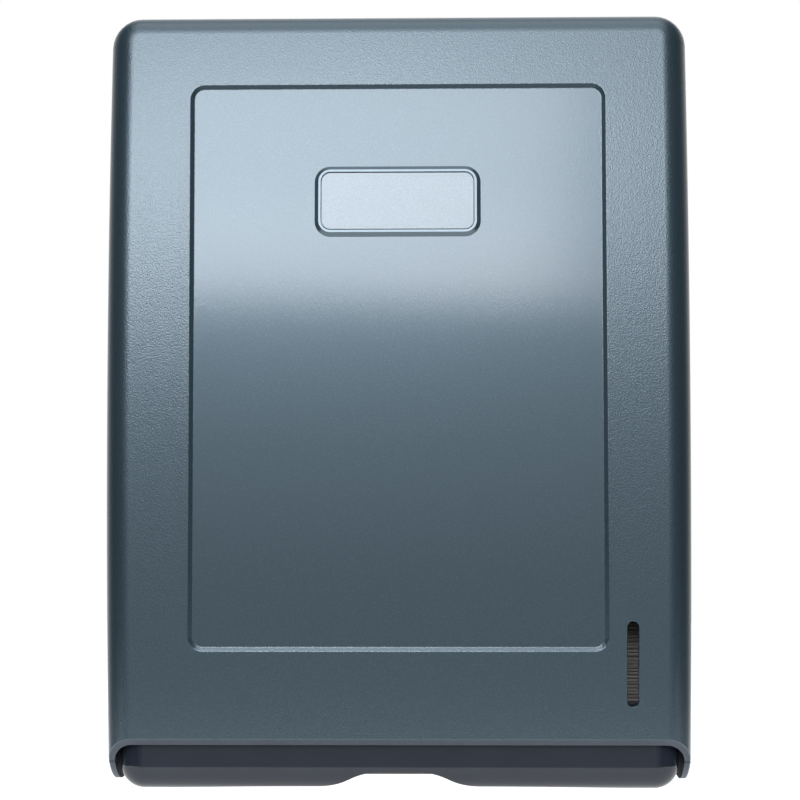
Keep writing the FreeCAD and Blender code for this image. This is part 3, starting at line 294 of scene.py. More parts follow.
def emboss(tree, shader, height, depth):
    """Relief in the surface and in its coat."""
    relief = add_node(tree, "Bump", Strength=1.0, Distance=depth)
    tree.links.new(height, relief.inputs["Height"])
    tree.links.new(relief.outputs[0], shader.inputs["Normal"])
    tree.links.new(relief.outputs[0], shader.inputs["Coat Normal"])


def new_finish(name, **settings):
    """A material with one Principled shader: its tree and the shader."""
    material = bpy.data.materials.new(name)
    tree = empty_tree(material)
    shader = add_node(tree, "BsdfPrincipled", **settings)
    out = add_node(tree, "OutputMaterial")
    tree.links.new(shader.outputs[0], out.inputs["Surface"])
    return material, tree, shader


def moulded(name, base, roughness, grain_size, grain_depth, shine=0.5):
    """Moulded plastic: the mould's grain in relief, and gloss and colour that vary a little."""
    material, tree, shader = new_finish(name, Specular_IOR_Level=shine)
    cloud = texture(tree, "TexNoise", MOULD_CLOUD_SIZE, Detail=3.0)
    shade(tree, shader, base, tune(tree, cloud, 1 - MOULD_CLOUD, 1 + MOULD_CLOUD))
    patches = texture(tree, "TexNoise", MOULD_GLOSS_SIZE, Detail=2.0)
    gloss = tune(tree, patches, roughness * (1 - MOULD_GLOSS), roughness * (1 + MOULD_GLOSS))
    tree.links.new(gloss, shader.inputs["Roughness"])
    emboss(tree, shader, texture(tree, "TexNoise", grain_size, Detail=2.0), grain_depth)
    return material


def dress(material, *names):
    """Give CAD pieces a finish."""
    for name in names:
        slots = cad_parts[name].data.materials
        slots.clear()
        slots.append(material)


base_plastic = moulded("base_plastic", BASE_GREY, roughness=0.45, grain_size=0.0008, grain_depth=0.00003)
dress(base_plastic, "back_plate")

# Discharge tray
# The glossy dark chin below the cover and the floor that the towels lie on, moulded in one piece and
# screwed to the back plate. The towels leave by its mouth, past the finger notch.
CHIN_GREY = (0.022, 0.028, 0.041)

chin_plastic = moulded("chin_plastic", CHIN_GREY, roughness=0.1, grain_size=0.012, grain_depth=0.00001)
dress(chin_plastic, "discharge_tray")

# Stack guides
# Two channels moulded in grey plastic, screwed to the back plate at the stack's sides. They keep
# the towels in line.
GUIDE_GREY = (0.16, 0.17, 0.18)

guide_plastic = moulded("guide_plastic", GUIDE_GREY, roughness=0.4, grain_size=0.0009, grain_depth=0.00002)
dress(guide_plastic, "stack_guide_left", "stack_guide_right")

# Screws and keeper
# Zinc-plated steel: pan-head screws for the tray, guides and keeper, and the keeper itself, pressed
# from sheet and screwed to the back plate for the lock's cam.
ZINC = (0.52, 0.53, 0.54)
METAL_CLOUD_SIZE = 0.003
BLOOM_SIZE = 0.0012
BLOOM_SMOOTH = 0.8
BLOOM_ROUGH = 1.25
MARK_SIZE = 0.0004
MARK_DEPTH = 0.000004


def plated(name, base, roughness, cloud, lay=(1, 1, 1)):
    """Plated metal: crystalline bloom in the gloss, a faint cloud in the colour, marks along its lay."""
    material, tree, shader = new_finish(name, Metallic=1.0)
    tone = texture(tree, "TexNoise", METAL_CLOUD_SIZE, Detail=3.0)
    shade(tree, shader, base, tune(tree, tone, 1 - cloud, 1 + cloud))
    gloss = add_node(tree, "MapRange", To_Min=roughness * BLOOM_SMOOTH, To_Max=roughness * BLOOM_ROUGH)
    tree.links.new(texture(tree, "TexVoronoi", BLOOM_SIZE), gloss.inputs["Value"])
    tree.links.new(gloss.outputs[0], shader.inputs["Roughness"])
    emboss(tree, shader, texture(tree, "TexNoise", MARK_SIZE, lay, Detail=2.0), MARK_DEPTH)
    return material


plated_steel = plated("plated_steel", ZINC, roughness=0.3, cloud=0.1)
dress(plated_steel, "tray_screws", "guide_screws", "keeper_screws", "lock_keeper")

# Towel stack
# Folded paper towels laid flat one on another, each a little out of line with the next, with the
# rounded folds at the front and the back.
TOWEL_COUNT = 165
TOWEL_UNEVEN = 0.25
TOWEL_WANDER = 0.0005
TOWEL_STATIONS = 10
TOWEL_GAP = 0.06
TOWEL_SEED = 5
FOLD_ARC = 75
FOLD_STEPS = 4
WAVE_RADIANS = (5, 11)
WELD_DIGITS = 7


class Skin:
    """The surface of one piece, from patches. Corners that meet are welded and keep their normals."""

    def __init__(self):
        self.places = {}
        self.points = []
        self.faces = []
        self.normals = []
        self.finishes = []
        self.finish = 0

    def corner(self, point):
        key = tuple(round(part, WELD_DIGITS) + 0.0 for part in point)
        if key not in self.places:
            self.places[key] = len(self.points)
            self.points.append(Vector(point))
        return self.places[key]

    def face(self, corners):
        """One face from (point, normal) pairs, turned to look the way its normals do."""
        indices = [self.corner(point) for point, _ in corners]
        kept = [i for i in range(len(indices)) if indices[i] != indices[i - 1]]
        if len(kept) < 3 or len({indices[i] for i in kept}) < len(kept):
            return
        loop = [(indices[i], corners[i][1]) for i in kept]
        origin = self.points[loop[0][0]]
        facing = Vector()
        for (first, _), (second, _) in zip(loop[1:], loop[2:]):
            facing += (self.points[first] - origin).cross(self.points[second] - origin)
        if facing.dot(sum((normal for _, normal in loop), Vector())) < 0:
            loop.reverse()
        self.faces.append([index for index, _ in loop])
        self.normals += [normal for _, normal in loop]
        self.finishes.append(self.finish)

    def strip(self, first, second, closed=True):
        """Four-sided faces between two rows of (point, normal) pairs."""
        for i in range(len(first) if closed else len(first) - 1):
            j = (i + 1) % len(first)
            self.face([first[i], first[j], second[j], second[i]])

    def grid(self, rows, closed=True):
        for first, second in zip(rows, rows[1:]):
            self.strip(first, second, closed)

    def build(self, name, materials):
        mesh = bpy.data.meshes.new(name)
        mesh.from_pydata(self.points, [], self.faces)
        for material in materials:
            mesh.materials.append(material)
        mesh.polygons.foreach_set("material_index", self.finishes)
        mesh.polygons.foreach_set("use_smooth", [True] * len(self.faces))
        mesh.normals_split_custom_set(self.normals)
        thing = bpy.data.objects.new(name, mesh)
        scene.collection.objects.link(thing)
        return thing


def steps(start, end, count):
    """Evenly spaced values from start to end, in so many steps."""
    return [start + (end - start) * step / count for step in range(count + 1)]


def towel_heights(low, high, draw):
    """Where each towel ends: uneven thicknesses that add up to the stack."""
    shares = [1 + draw.uniform(-TOWEL_UNEVEN, TOWEL_UNEVEN) for _ in range(TOWEL_COUNT)]
    tops, total = [low], 0.0
    for share in shares:
        total += share
        tops.append(low + (high - low) * total / sum(shares))
    return tops


def towel_section(front, rear, low, high):
    """Section of one folded towel: (y, z, normal) round both folds and along both flats."""
    middle = (low + high) / 2
    radius = (high - low) / 2 * (1 - TOWEL_GAP)
    ring = []
    for centre, start in ((front + radius, 180), (rear - radius, 0)):
        for angle in steps(math.radians(start - FOLD_ARC), math.radians(start + FOLD_ARC), FOLD_STEPS):
            ray = Vector((0, math.cos(angle), math.sin(angle)))
            ring.append((centre + ray.y * radius, middle + ray.z * radius, ray))
        flat = Vector((0, 0, -1 if start else 1))
        ring.append(((front + rear) / 2, middle + flat.z * radius, flat))
    return ring


def wave(phases, share):
    """How far a fold's edge stands in at a share of its length, from 0 to 1, as two waves together."""
    swells = [math.sin(phase + reach * share) for phase, reach in zip(phases, WAVE_RADIANS)]
    return (sum(swells) + 2) / 4


def make_towels():
    """Every towel of the stack, as long as its CAD solid and each with its own edges."""
    skin = Skin()
    draw = random.Random(TOWEL_SEED)
    low, high = (Vector(corner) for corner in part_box("towel_stack"))
    tops = towel_heights(low.z, high.z, draw)
    for bottom, top in zip(tops, tops[1:]):
        ends = [low.x + draw.random() * TOWEL_WANDER, high.x - draw.random() * TOWEL_WANDER]
        insets = [draw.random() * TOWEL_WANDER for _ in range(2)]
        phases = [draw.uniform(0, 2 * math.pi) for _ in range(4)]
        rows = []
        for share in steps(0, 1, TOWEL_STATIONS):
            front = low.y + insets[0] + TOWEL_WANDER * wave(phases[0::2], share)
            rear = high.y - insets[1] - TOWEL_WANDER * wave(phases[1::2], share)
            x = ends[0] + (ends[1] - ends[0]) * share
            ring = towel_section(front, rear, bottom, top)
            rows.append([(Vector((x, y, z)), normal) for y, z, normal in ring])
        skin.grid(rows)
        for row, side in ((rows[0], -1), (rows[-1], 1)):
            skin.face([(point, Vector((side, 0, 0))) for point, _ in row])
    return skin


TOWEL_BROWN = (0.36, 0.325, 0.31)
PAPER_ROUGHNESS = 0.9
TONE_SIZE = 0.0017
TONE_STRETCH = (240, 240, 0.3)
# Darkest and lightest layers: the paper's own tone mixed with painted shade and light on the stacked edges.
SHADED_FOLD_TONE = 0.6
LIT_FOLD_TONE = 1.25
EMBOSS_SIZE = 0.0028
EMBOSS_DEPTH = 0.00012


def paper(name, base):
    """Soft paper: layers of its own tone and of painted light and shade from fold to fold; embossed cells.
    """
    material, tree, shader = new_finish(name, Roughness=PAPER_ROUGHNESS)
    # Level layers, lighter and darker from fold to fold: part paper tone, part painted light and shade.
    fold_tone_and_shade = texture(tree, "TexNoise", TONE_SIZE, TONE_STRETCH, Detail=1.0)
    shade(tree, shader, base, tune(tree, fold_tone_and_shade, SHADED_FOLD_TONE, LIT_FOLD_TONE))
    emboss(tree, shader, texture(tree, "TexVoronoi", EMBOSS_SIZE), EMBOSS_DEPTH)
    return material


towels = make_towels().build("folded_towels", [paper("towel_paper", TOWEL_BROWN)])
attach(towels, "wall_base")
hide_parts("towel_stack")

# Front cover
# One injection-moulded shell, bowed in side view and open at the back and underneath, painted a
# metallic blue-grey. A smoother panel is let into its moulded grain. Heights are above its base.
HALF_WIDTH = 0.140
HEIGHT = 0.374
WALL = 0.003
REAR = -0.001
FACE_RADIUS = 1.340
FACE_AXIS = FACE_RADIUS + FRONT
CROWN = 0.116
SIDE_RADIUS = 0.0125
TOP_RADIUS = 0.011
CORNER_RADIUS = 0.015
LIP = 0.026
LIP_SLOPE = math.radians(45)
SWEEP_RADIUS = 0.040
EAR_RADIUS = 0.013
PIVOT_Y = -0.014
PIVOT_Z = 0.014
RIM_RADIUS = 0.0006
RIM_STEPS = 3
RIM_HALVINGS = 40
SIDE_STEPS = 40
ARC_STEPS = 8
FACE_LATTICE = (0.020, 0.007)
HULL_TRIANGLES = 0
SAME_SPOT = 1e-9
SAME_WAY = 1e-6
UP = Vector((0, 0, 1))
REARWARD = Vector((0, 1, 0))
FRAME_FINISH, PANEL_FINISH, INSIDE_FINISH, RIM_FINISH = range(4)


def fill(skin, outlines, flatten, normal, raise_to=None, spacing=None):
    """Triangles inside the first outline and outside the others, each a list of points."""
    known = [point for outline in outlines for point in outline]
    flat = [Vector(flatten(point)) for point in known]
    edges, shapes, start = [], [], 0
    for outline in outlines:
        count = len(outline)
        edges += [(start + i, start + (i + 1) % count) for i in range(count)]
        shapes.append(flat[start:start + count])
        start += count
    added = lattice(shapes, spacing) if spacing else []
    known += [raise_to(*spot) for spot in added]
    spots, _, triangles, sources, _, _ = delaunay_2d_cdt(flat + added, edges, [], HULL_TRIANGLES, SAME_SPOT)
    for triangle in triangles:
        middle = sum((spots[i] for i in triangle), Vector((0, 0))) / 3
        if inside(middle, shapes[0]) and not any(inside(middle, shape) for shape in shapes[1:]):
            corners = [known[sources[i][0]] for i in triangle]
            skin.face([(point, normal(point)) for point in corners])


def inside(spot, loop):
    """Whether a flat spot lies inside a closed loop."""
    found = False
    for first, second in zip(loop, loop[1:] + loop[:1]):
        if (first.y > spot.y) != (second.y > spot.y):
            crossing = first.x + (spot.y - first.y) * (second.x - first.x) / (second.y - first.y)
            found ^= spot.x < crossing
    return found


def gap_to(spot, loop):
    """How far a flat spot lies from the nearest edge of a loop."""
    gaps = []
    for first, second in zip(loop, loop[1:] + loop[:1]):
        run = second - first
        share = (spot - first).dot(run) / run.length_squared if run.length_squared else 0
        gaps.append((spot - first - run * max(0.0, min(1.0, share))).length)
    return min(gaps)


def lattice(shapes, spacing):
    """Flat spots in rows and columns inside the first shape, clear of its edge and of the others."""
    outer = shapes[0]
    low = Vector((min(spot.x for spot in outer), min(spot.y for spot in outer)))
    high = Vector((max(spot.x for spot in outer), max(spot.y for spot in outer)))
    counts = [round((high[i] - low[i]) / spacing[i]) for i in (0, 1)]
    clear = min(spacing) / 2
    spots = []
    for column in range(1, counts[0]):
        for row in range(1, counts[1]):
            across = (high.x - low.x) * column / counts[0]
            up = (high.y - low.y) * row / counts[1]
            spot = low + Vector((across, up))
            if not inside(spot, outer) or any(inside(spot, shape) for shape in shapes[1:]):
                continue
            if all(gap_to(spot, shape) > clear for shape in shapes):
                spots.append(spot)
    return spots


def on_bow(x, height, inset=0.0):
    """A point of the bowed face, or of a surface set in behind it."""
    y = FACE_AXIS - math.sqrt((FACE_RADIUS - inset) ** 2 - (height - CROWN) ** 2)
    return Vector((x, y, BASE + height))


def bow_normal(point):
    """The direction in which the bowed face looks at a point."""
    return Vector((0, point.y - FACE_AXIS, point.z - BASE - CROWN)).normalized()


def swing(start, end, share):
    """A direction part of the way from one to another."""
    angle = start.angle(end)
    if angle < SAME_WAY:
        return start
    return (start * math.sin((1 - share) * angle) + end * math.sin(share * angle)) / math.sin(angle)


LIP_Y = on_bow(0, LIP).y
RIM_HEIGHT = PIVOT_Z - EAR_RADIUS
SWEEP_TOP = RIM_HEIGHT + SWEEP_RADIUS * (1 - math.cos(LIP_SLOPE))
SWEEP_FRONT = LIP_Y + (LIP - SWEEP_TOP) / math.tan(LIP_SLOPE)
SWEEP_REAR = SWEEP_FRONT + SWEEP_RADIUS * math.sin(LIP_SLOPE)


def rim_at(y):
    """Height and outward direction of the cover's lower edge, seen from the side."""
    if y < SWEEP_FRONT:
        direction = Vector((0, -math.sin(LIP_SLOPE), -math.cos(LIP_SLOPE)))
        return LIP - (y - LIP_Y) * math.tan(LIP_SLOPE), direction
    if y < SWEEP_REAR:
        drop = math.sqrt(SWEEP_RADIUS ** 2 - (y - SWEEP_REAR) ** 2)
        return RIM_HEIGHT + SWEEP_RADIUS - drop, Vector((0, y - SWEEP_REAR, -drop)).normalized()
    if y < PIVOT_Y:
        return RIM_HEIGHT, -UP
    drop = math.sqrt(max(0.0, EAR_RADIUS ** 2 - (y - PIVOT_Y) ** 2))
    return PIVOT_Z - drop, Vector((0, y - PIVOT_Y, -drop)).normalized()


def edge_ball(x, height, outward, share, inset):
    """The rounded edge between a wall and the face: a ball rolls along inside both, smaller at the
    top than at the sides. The place of its outer end is given as seen from the front, and the share
    goes from the wall's side to the face's."""
    radius = SIDE_RADIUS + (TOP_RADIUS - SIDE_RADIUS) * outward.z ** 2
    x, height = x - outward.x * radius, height - outward.z * radius
    reach = FACE_RADIUS - radius
    centre = Vector((x, FACE_AXIS - math.sqrt(reach ** 2 - (height - CROWN) ** 2), BASE + height))
    direction = swing(outward, bow_normal(centre), share)
    return centre + direction * (radius - inset), direction


def rim_ball(side, share, inset):
    """Where the rounded side edge runs out at the lower rim, found by halving a span of heights."""
    low, high = LIP - SIDE_RADIUS, LIP + SIDE_RADIUS
    for _ in range(RIM_HALVINGS):
        height = (low + high) / 2
        point, normal = edge_ball(side * HALF_WIDTH, height, Vector((side, 0, 0)), share, inset)
        if point.z - BASE < rim_at(point.y)[0]:
            low = height
        else:
            high = height
    return point, normal


def corner_turn(side):
    """Outward directions round a top corner, from the side wall to the top."""
    return [swing(Vector((side, 0, 0)), UP, step / ARC_STEPS) for step in range(ARC_STEPS + 1)]


def free_edge(side, inset):
    """Half of the shell's free edge, from the middle of the lip round to the top: point, normal of
    the surface and normal of the rim."""
    stations = []
    for step in range(ARC_STEPS, -1, -1):
        point, normal = rim_ball(side, step / ARC_STEPS, inset)
        stations.append((point, normal, rim_at(point.y)[1]))
    places = [SWEEP_REAR - SWEEP_RADIUS * math.sin(angle) for angle in steps(LIP_SLOPE, 0, ARC_STEPS)]
    places += [PIVOT_Y + EAR_RADIUS * math.cos(angle) for angle in steps(math.pi / 2, 0, ARC_STEPS)]
    for y in places:
        height, direction = rim_at(y)
        point = Vector((side * (HALF_WIDTH - inset), y, BASE + height))
        stations.append((point, Vector((side, 0, 0)), direction))
    for outward in corner_turn(side):
        middle = Vector((side * (HALF_WIDTH - CORNER_RADIUS), REAR, BASE + HEIGHT - CORNER_RADIUS))
        stations.append((middle + outward * (CORNER_RADIUS - inset), outward, REARWARD))
    return stations


def rounding(point, normal, rim_normal, radius):
    """An arc of (point, normal) pairs that rounds the edge at a point between two surfaces."""
    centre = point - (normal + rim_normal) * radius / (1 + normal.dot(rim_normal))
    directions = [swing(normal, rim_normal, share) for share in steps(0, 1, RIM_STEPS)]
    return [(centre + direction * radius, direction) for direction in directions]


def shell_surface(skin, edge, inset, face_holes, side_holes, top_holes):
    """One surface of the shell, outer or inner, up to its free edge and round its holes."""
    facing = 1 if inset == 0 else -1
    front_lines, top_lines = {}, {}
    for side in (-1, 1):
        outward = Vector((side, 0, 0))
        heights = steps(LIP + SIDE_RADIUS / 2, HEIGHT - CORNER_RADIUS, SIDE_STEPS)
        balls = [(side * HALF_WIDTH, height, outward) for height in heights]
        turns = corner_turn(side)
        for turn in turns[1:]:
            balls.append((side * (HALF_WIDTH - CORNER_RADIUS) + turn.x * CORNER_RADIUS,
                          HEIGHT - CORNER_RADIUS + turn.z * CORNER_RADIUS, turn))
        rows = [[station[:2] for station in edge[side][ARC_STEPS::-1]]]
        for x, height, turn in balls:
            rows.append([edge_ball(x, height, turn, share, inset) for share in steps(0, 1, ARC_STEPS)])
        skin.grid([[(point, normal * facing) for point, normal in row] for row in rows], closed=False)
        wall_line = [row[0][0] for row in rows]
        rear_line = [station[0] for station in edge[side][ARC_STEPS:]]
        corner_front, corner_rear = wall_line[-ARC_STEPS - 1:], rear_line[-ARC_STEPS - 1:]
        skin.strip([(point, turn * facing) for point, turn in zip(corner_front, turns)],
                   [(point, turn * facing) for point, turn in zip(corner_rear, turns)], closed=False)
        wall = wall_line[:-ARC_STEPS] + rear_line[-ARC_STEPS - 1:0:-1]
        fill(skin, [wall, *side_holes[side]], lambda p: (p.y, p.z), lambda p: outward * facing)
        front_lines[side] = [row[-1][0] for row in rows]
        top_lines[side] = [wall_line[-1], rear_line[-1]]
    left, right = top_edge_rows(inset)
    skin.strip([(point, normal * facing) for point, normal in left],
               [(point, normal * facing) for point, normal in right], closed=False)
    top = top_lines[-1] + top_lines[1][::-1]
    fill(skin, [top, *top_holes], lambda p: (p.x, p.y), lambda p: UP * facing)
    face = front_lines[-1] + front_lines[1][::-1]
    fill(skin, [face, *face_holes], lambda p: (p.x, p.z), lambda p: bow_normal(p) * facing,
         lambda x, z: on_bow(x, z - BASE, inset), FACE_LATTICE)


def top_edge_rows(inset):
    """The two ends of the straight rounded edge between the top and the face."""
    ends = []
    for side in (-1, 1):
        x = side * (HALF_WIDTH - CORNER_RADIUS)
        ends.append([edge_ball(x, HEIGHT, UP, share, inset) for share in steps(0, 1, ARC_STEPS)])
    return ends


CORNER_STEPS = 16
ROUND_STEPS = 48


def on_face(x, height, depth):
    """A point of the bowed face or behind it, and the face's direction there."""
    point = on_bow(x, height, depth)
    return point, bow_normal(point)


def on_level(x, height, depth):
    """A point of a flat piece in its own drawing plane, which looks forward."""
    return Vector((x, depth, height)), -REARWARD


def sunk(outline, profile, surface=on_face):
    """Rows of (point, normal) that follow an outline down a recess or up a raised edge. The outline
    is (x, height, inward direction); the profile is (across, depth, tilt from the surface)."""
    rows = []
    for across, depth, tilt in profile:
        row = []
        for x, height, inward in outline:
            point, normal = surface(x + inward.x * across, height + inward.y * across, depth)
            level = Vector((inward.x, 0, inward.y))
            row.append((point, normal * math.cos(tilt) + level * math.sin(tilt)))
        rows.append(row)
    return rows


def round_rectangle(centre, half_sizes, radius):
    """An upright outline with round corners: x, height and inward direction."""
    outline = []
    for quarter in range(4):
        across, up = ((1, 1), (-1, 1), (-1, -1), (1, -1))[quarter]
        for angle in steps(quarter * math.pi / 2, (quarter + 1) * math.pi / 2, CORNER_STEPS):
            ray = Vector((math.cos(angle), math.sin(angle)))
            x = centre[0] + across * (half_sizes[0] - radius) + ray.x * radius
            height = centre[1] + up * (half_sizes[1] - radius) + ray.y * radius
            outline.append((x, height, -ray))
    return outline


def section(points, radius=0.0):
    """A profile along straight lines with rounded corners: across, depth and the way it heads."""
    ways = [math.atan2(end[1] - start[1], end[0] - start[0]) for start, end in zip(points, points[1:])]
    profile = [(*points[0], ways[0])]
    for (across, depth), before, after in zip(points[1:], ways, ways[1:]):
        reach = radius * math.tan(abs(after - before) / 2)
        bend = radius if after > before else -radius
        across -= reach * math.cos(before) + bend * math.sin(before)
        depth -= reach * math.sin(before) - bend * math.cos(before)
        for way in steps(before, after, ARC_STEPS // 2):
            profile.append((across + bend * math.sin(way), depth - bend * math.cos(way), way))
    return profile + [(*points[-1], ways[-1])]


def turned(centre, axis, profile):
    """Rows of (point, normal) of a turned surface. The profile is (radius, place along the axis, the
    way it heads), walked with the material on its left."""
    side = axis.orthogonal().normalized()
    rays = [Matrix.Rotation(2 * math.pi * i / ROUND_STEPS, 3, axis) @ side for i in range(ROUND_STEPS)]
    rows = []
    for radius, along, way in profile:
        rows.append([(centre + axis * along + ray * radius, ray * math.sin(way) - axis * math.cos(way))
                     for ray in rays])
    return rows


def points_of(row):
    return [point for point, _ in row]


def add_rim(skin, edges):
    """The free edge: an outer rounding and a flat. Gives the line where the rounding starts."""
    arcs = {side: [rounding(*station, RIM_RADIUS) for station in edges[0][side]] for side in (-1, 1)}
    round_trip = arcs[1] + arcs[-1][::-1]
    skin.grid([[arc[i] for arc in round_trip] for i in range(RIM_STEPS + 1)])
    inner_loop = edges[WALL][1] + edges[WALL][-1][::-1]
    skin.finish = RIM_FINISH
    skin.strip([arc[-1] for arc in round_trip], [(point, rim) for point, _, rim in inner_loop])
    return {side: [arc[0] for arc in arcs[side]] for side in (-1, 1)}


PANEL_HALF = 0.100
PANEL_BOTTOM = 0.068
PANEL_TOP = 0.3394
PANEL_CENTRE = (0, (PANEL_BOTTOM + PANEL_TOP) / 2)
PANEL_HALF_SIZES = (PANEL_HALF, (PANEL_TOP - PANEL_BOTTOM) / 2)
PANEL_CORNER = 0.007
PANEL_BORDER = 0.002
PANEL_DEPTH = 0.0011
PANEL_EDGE_RADIUS = 0.0012
PAD_MARGIN = 0.0015


def add_panel(skin):
    """The recessed panel and its sloped border. Gives the outline that it leaves in the face."""
    outline = round_rectangle(PANEL_CENTRE, PANEL_HALF_SIZES, PANEL_CORNER)
    slope = [(-PANEL_BORDER, 0), (0, 0), (PANEL_BORDER, PANEL_DEPTH), (2 * PANEL_BORDER, PANEL_DEPTH)]
    border = sunk(outline, section(slope, PANEL_EDGE_RADIUS)[1:-1])
    skin.finish = FRAME_FINISH
    skin.grid(border)
    skin.finish = PANEL_FINISH
    fill(skin, [points_of(border[-1])], lambda p: (p.x, p.z), bow_normal,
         lambda x, z: on_bow(x, z - BASE, PANEL_DEPTH), FACE_LATTICE)
    return points_of(border[0])


def add_pad(skin):
    """The panel's back, which stands into the case. Gives its outline on the inner surface."""
    half_sizes = [half + PAD_MARGIN for half in PANEL_HALF_SIZES]
    outline = round_rectangle(PANEL_CENTRE, half_sizes, PANEL_CORNER + PAD_MARGIN)
    pad = sunk(outline, [(0, depth, -math.pi / 2) for depth in (WALL, WALL + PANEL_DEPTH)])
    skin.finish = INSIDE_FINISH
    skin.grid(pad)
    fill(skin, [points_of(pad[1])], lambda p: (p.x, p.z), lambda p: -bow_normal(p),
         lambda x, z: on_bow(x, z - BASE, WALL + PANEL_DEPTH), FACE_LATTICE)
    return points_of(pad[0])


SLOT_X = 0.1112
SLOT_Z = 0.062
SLOT_WIDTH = 0.0055
SLOT_LENGTH = 0.0408
SLOT_FLAT = 0.00001
SLOT_EDGE_RADIUS = 0.00025


def add_slot(skin):
    """The level slot through the wall. Gives its outlines outside and inside."""
    half_sizes = (SLOT_WIDTH / 2, SLOT_LENGTH / 2)
    outline = round_rectangle((SLOT_X, SLOT_Z), half_sizes, SLOT_WIDTH / 2 - SLOT_FLAT)
    slot = sunk(outline, section([(-SLOT_WIDTH, 0), (0, 0), (0, WALL)], SLOT_EDGE_RADIUS)[1:])
    skin.finish = FRAME_FINISH
    skin.grid(slot)
    return points_of(slot[0]), points_of(slot[-1])


PIN_HEAD_RADIUS = 0.0048
PIN_HEAD_DEPTH = 0.00155
PIN_BORE_RADIUS = 0.00255
PIN_BOSS_RADIUS = 0.008
PIN_BOSS_HEIGHT = 0.0018


def add_pin_seats(skin):
    """The bores for the hinge pins, with a seat for the head outside and a boss inside. Gives each
    side's outlines on the outer and on the inner surface."""
    centre = Vector((0, PIVOT_Y, BASE + PIVOT_Z))
    seat = HALF_WIDTH - PIN_HEAD_DEPTH
    boss = HALF_WIDTH - WALL - PIN_BOSS_HEIGHT
    profile = [(PIN_HEAD_RADIUS, HALF_WIDTH), (PIN_HEAD_RADIUS, seat), (PIN_BORE_RADIUS, seat),
               (PIN_BORE_RADIUS, boss), (PIN_BOSS_RADIUS, boss), (PIN_BOSS_RADIUS, HALF_WIDTH - WALL)]
    outer, inner = {}, {}
    skin.finish = INSIDE_FINISH
    for side in (-1, 1):
        rows = turned(centre, Vector((side, 0, 0)), section(profile))
        skin.grid(rows)
        outer[side] = [points_of(rows[0])]
        inner[side] = [points_of(rows[-1])]
    return outer, inner


LOCK_Y = -0.038
LOCK_RECESS_RADIUS = 0.0109
LOCK_RECESS_DEPTH = 0.0014
LOCK_BORE_RADIUS = 0.00815


def lock_seat():
    """The bore for the lock in the top wall, recessed for the barrel's head, from the top down."""
    seat = HEIGHT - LOCK_RECESS_DEPTH
    profile = [(LOCK_RECESS_RADIUS, HEIGHT), (LOCK_RECESS_RADIUS, seat), (LOCK_BORE_RADIUS, seat),
               (LOCK_BORE_RADIUS, HEIGHT - WALL)]
    return turned(Vector((0, LOCK_Y, BASE)), UP, section(profile))


def make_cover():
    """The whole shell: rim, panel, slot and seats, then its inner and its outer surface."""
    skin = Skin()
    edges = {inset: {side: free_edge(side, inset) for side in (-1, 1)} for inset in (0, WALL)}
    outer_edge = add_rim(skin, edges)
    panel_outline = add_panel(skin)
    slot_outside, slot_inside = add_slot(skin)
    pad_outline = add_pad(skin)
    pins_outside, pins_inside = add_pin_seats(skin)
    seat = lock_seat()
    shell_surface(skin, edges[WALL], WALL, [pad_outline, slot_inside], pins_inside, [points_of(seat[-1])])
    skin.finish = FRAME_FINISH
    skin.grid(seat)
    shell_surface(skin, outer_edge, 0, [panel_outline, slot_outside], pins_outside, [points_of(seat[0])])
    return skin


FRAME_BLUE = (0.055, 0.092, 0.117)
INSIDE_GREY = (0.024, 0.026, 0.03)
RIM_GREY = (0.09, 0.11, 0.14)
PAINT_METAL = 0.55
PAINT_ROUGHNESS = 0.345
FLECK_SPACING = 0.0008
FLECK_REACH = 0.34
FLECK_SHADE = 0.2


def paint(name, base, lacquer, grain_size, grain_depth, fleck):
    """Dark metallic paint under clear lacquer: bright metal flecks with the paint between them a
    little darker, and moulded grain in relief. The lacquer is given by its roughness."""
    material, tree, shader = new_finish(name, Metallic=PAINT_METAL, Roughness=PAINT_ROUGHNESS,
                                        Coat_Weight=1.0, Coat_Roughness=lacquer)
    flecks = add_node(tree, "MapRange", interpolation_type="SMOOTHSTEP", From_Max=FLECK_REACH,
                      To_Min=1 + fleck, To_Max=1 - fleck * FLECK_SHADE)
    tree.links.new(texture(tree, "TexVoronoi", FLECK_SPACING), flecks.inputs["Value"])
    shade(tree, shader, base, flecks.outputs[0])
    emboss(tree, shader, texture(tree, "TexNoise", grain_size, Detail=2.0), grain_depth)
    return material


frame_paint = paint("cover_paint", FRAME_BLUE, lacquer=0.2,
                    grain_size=0.00072, grain_depth=0.0001, fleck=0.6)
panel_paint = paint("panel_paint", FRAME_BLUE, lacquer=0.12,
                    grain_size=0.0008, grain_depth=0.000022, fleck=0.6)
inside_plastic = moulded("inside_plastic", INSIDE_GREY, roughness=0.8,
                         grain_size=0.001, grain_depth=0.00002, shine=0.25)
rim_plastic = moulded("rim_plastic", RIM_GREY, roughness=0.5, grain_size=0.0008, grain_depth=0.00001)
cover = make_cover().build("painted_cover", [frame_paint, panel_paint, inside_plastic, rim_plastic])
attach(cover, "cover")
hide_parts("front_cover")

# Hinge pins and lock
# The pins are turned in steel with a flat head, and spring clips hold them in the ears. A nut clamps
# the chromed barrel in the cover's top; its nickel plug turns and swings the cam behind the keeper.
SPRING_GREY = (0.3, 0.3, 0.31)
LOCK_CHROME = (0.66, 0.68, 0.7)
PLUG_NICKEL = (0.42, 0.41, 0.38)

spring_steel = plated("spring_steel", SPRING_GREY, roughness=0.25, cloud=0.1, lay=(1, 8, 1))
dress(plated_steel, "hinge_pin_left", "hinge_pin_right", "lock_washer", "lock_nut", "lock_cam", "cam_screw")
dress(spring_steel, "hinge_clips")
dress(plated("lock_chrome", LOCK_CHROME, roughness=0.12, cloud=0.015), "lock_barrel")
dress(plated("plug_nickel", PLUG_NICKEL, roughness=0.24, cloud=0.03, lay=(6, 1, 1)), "lock_plug")

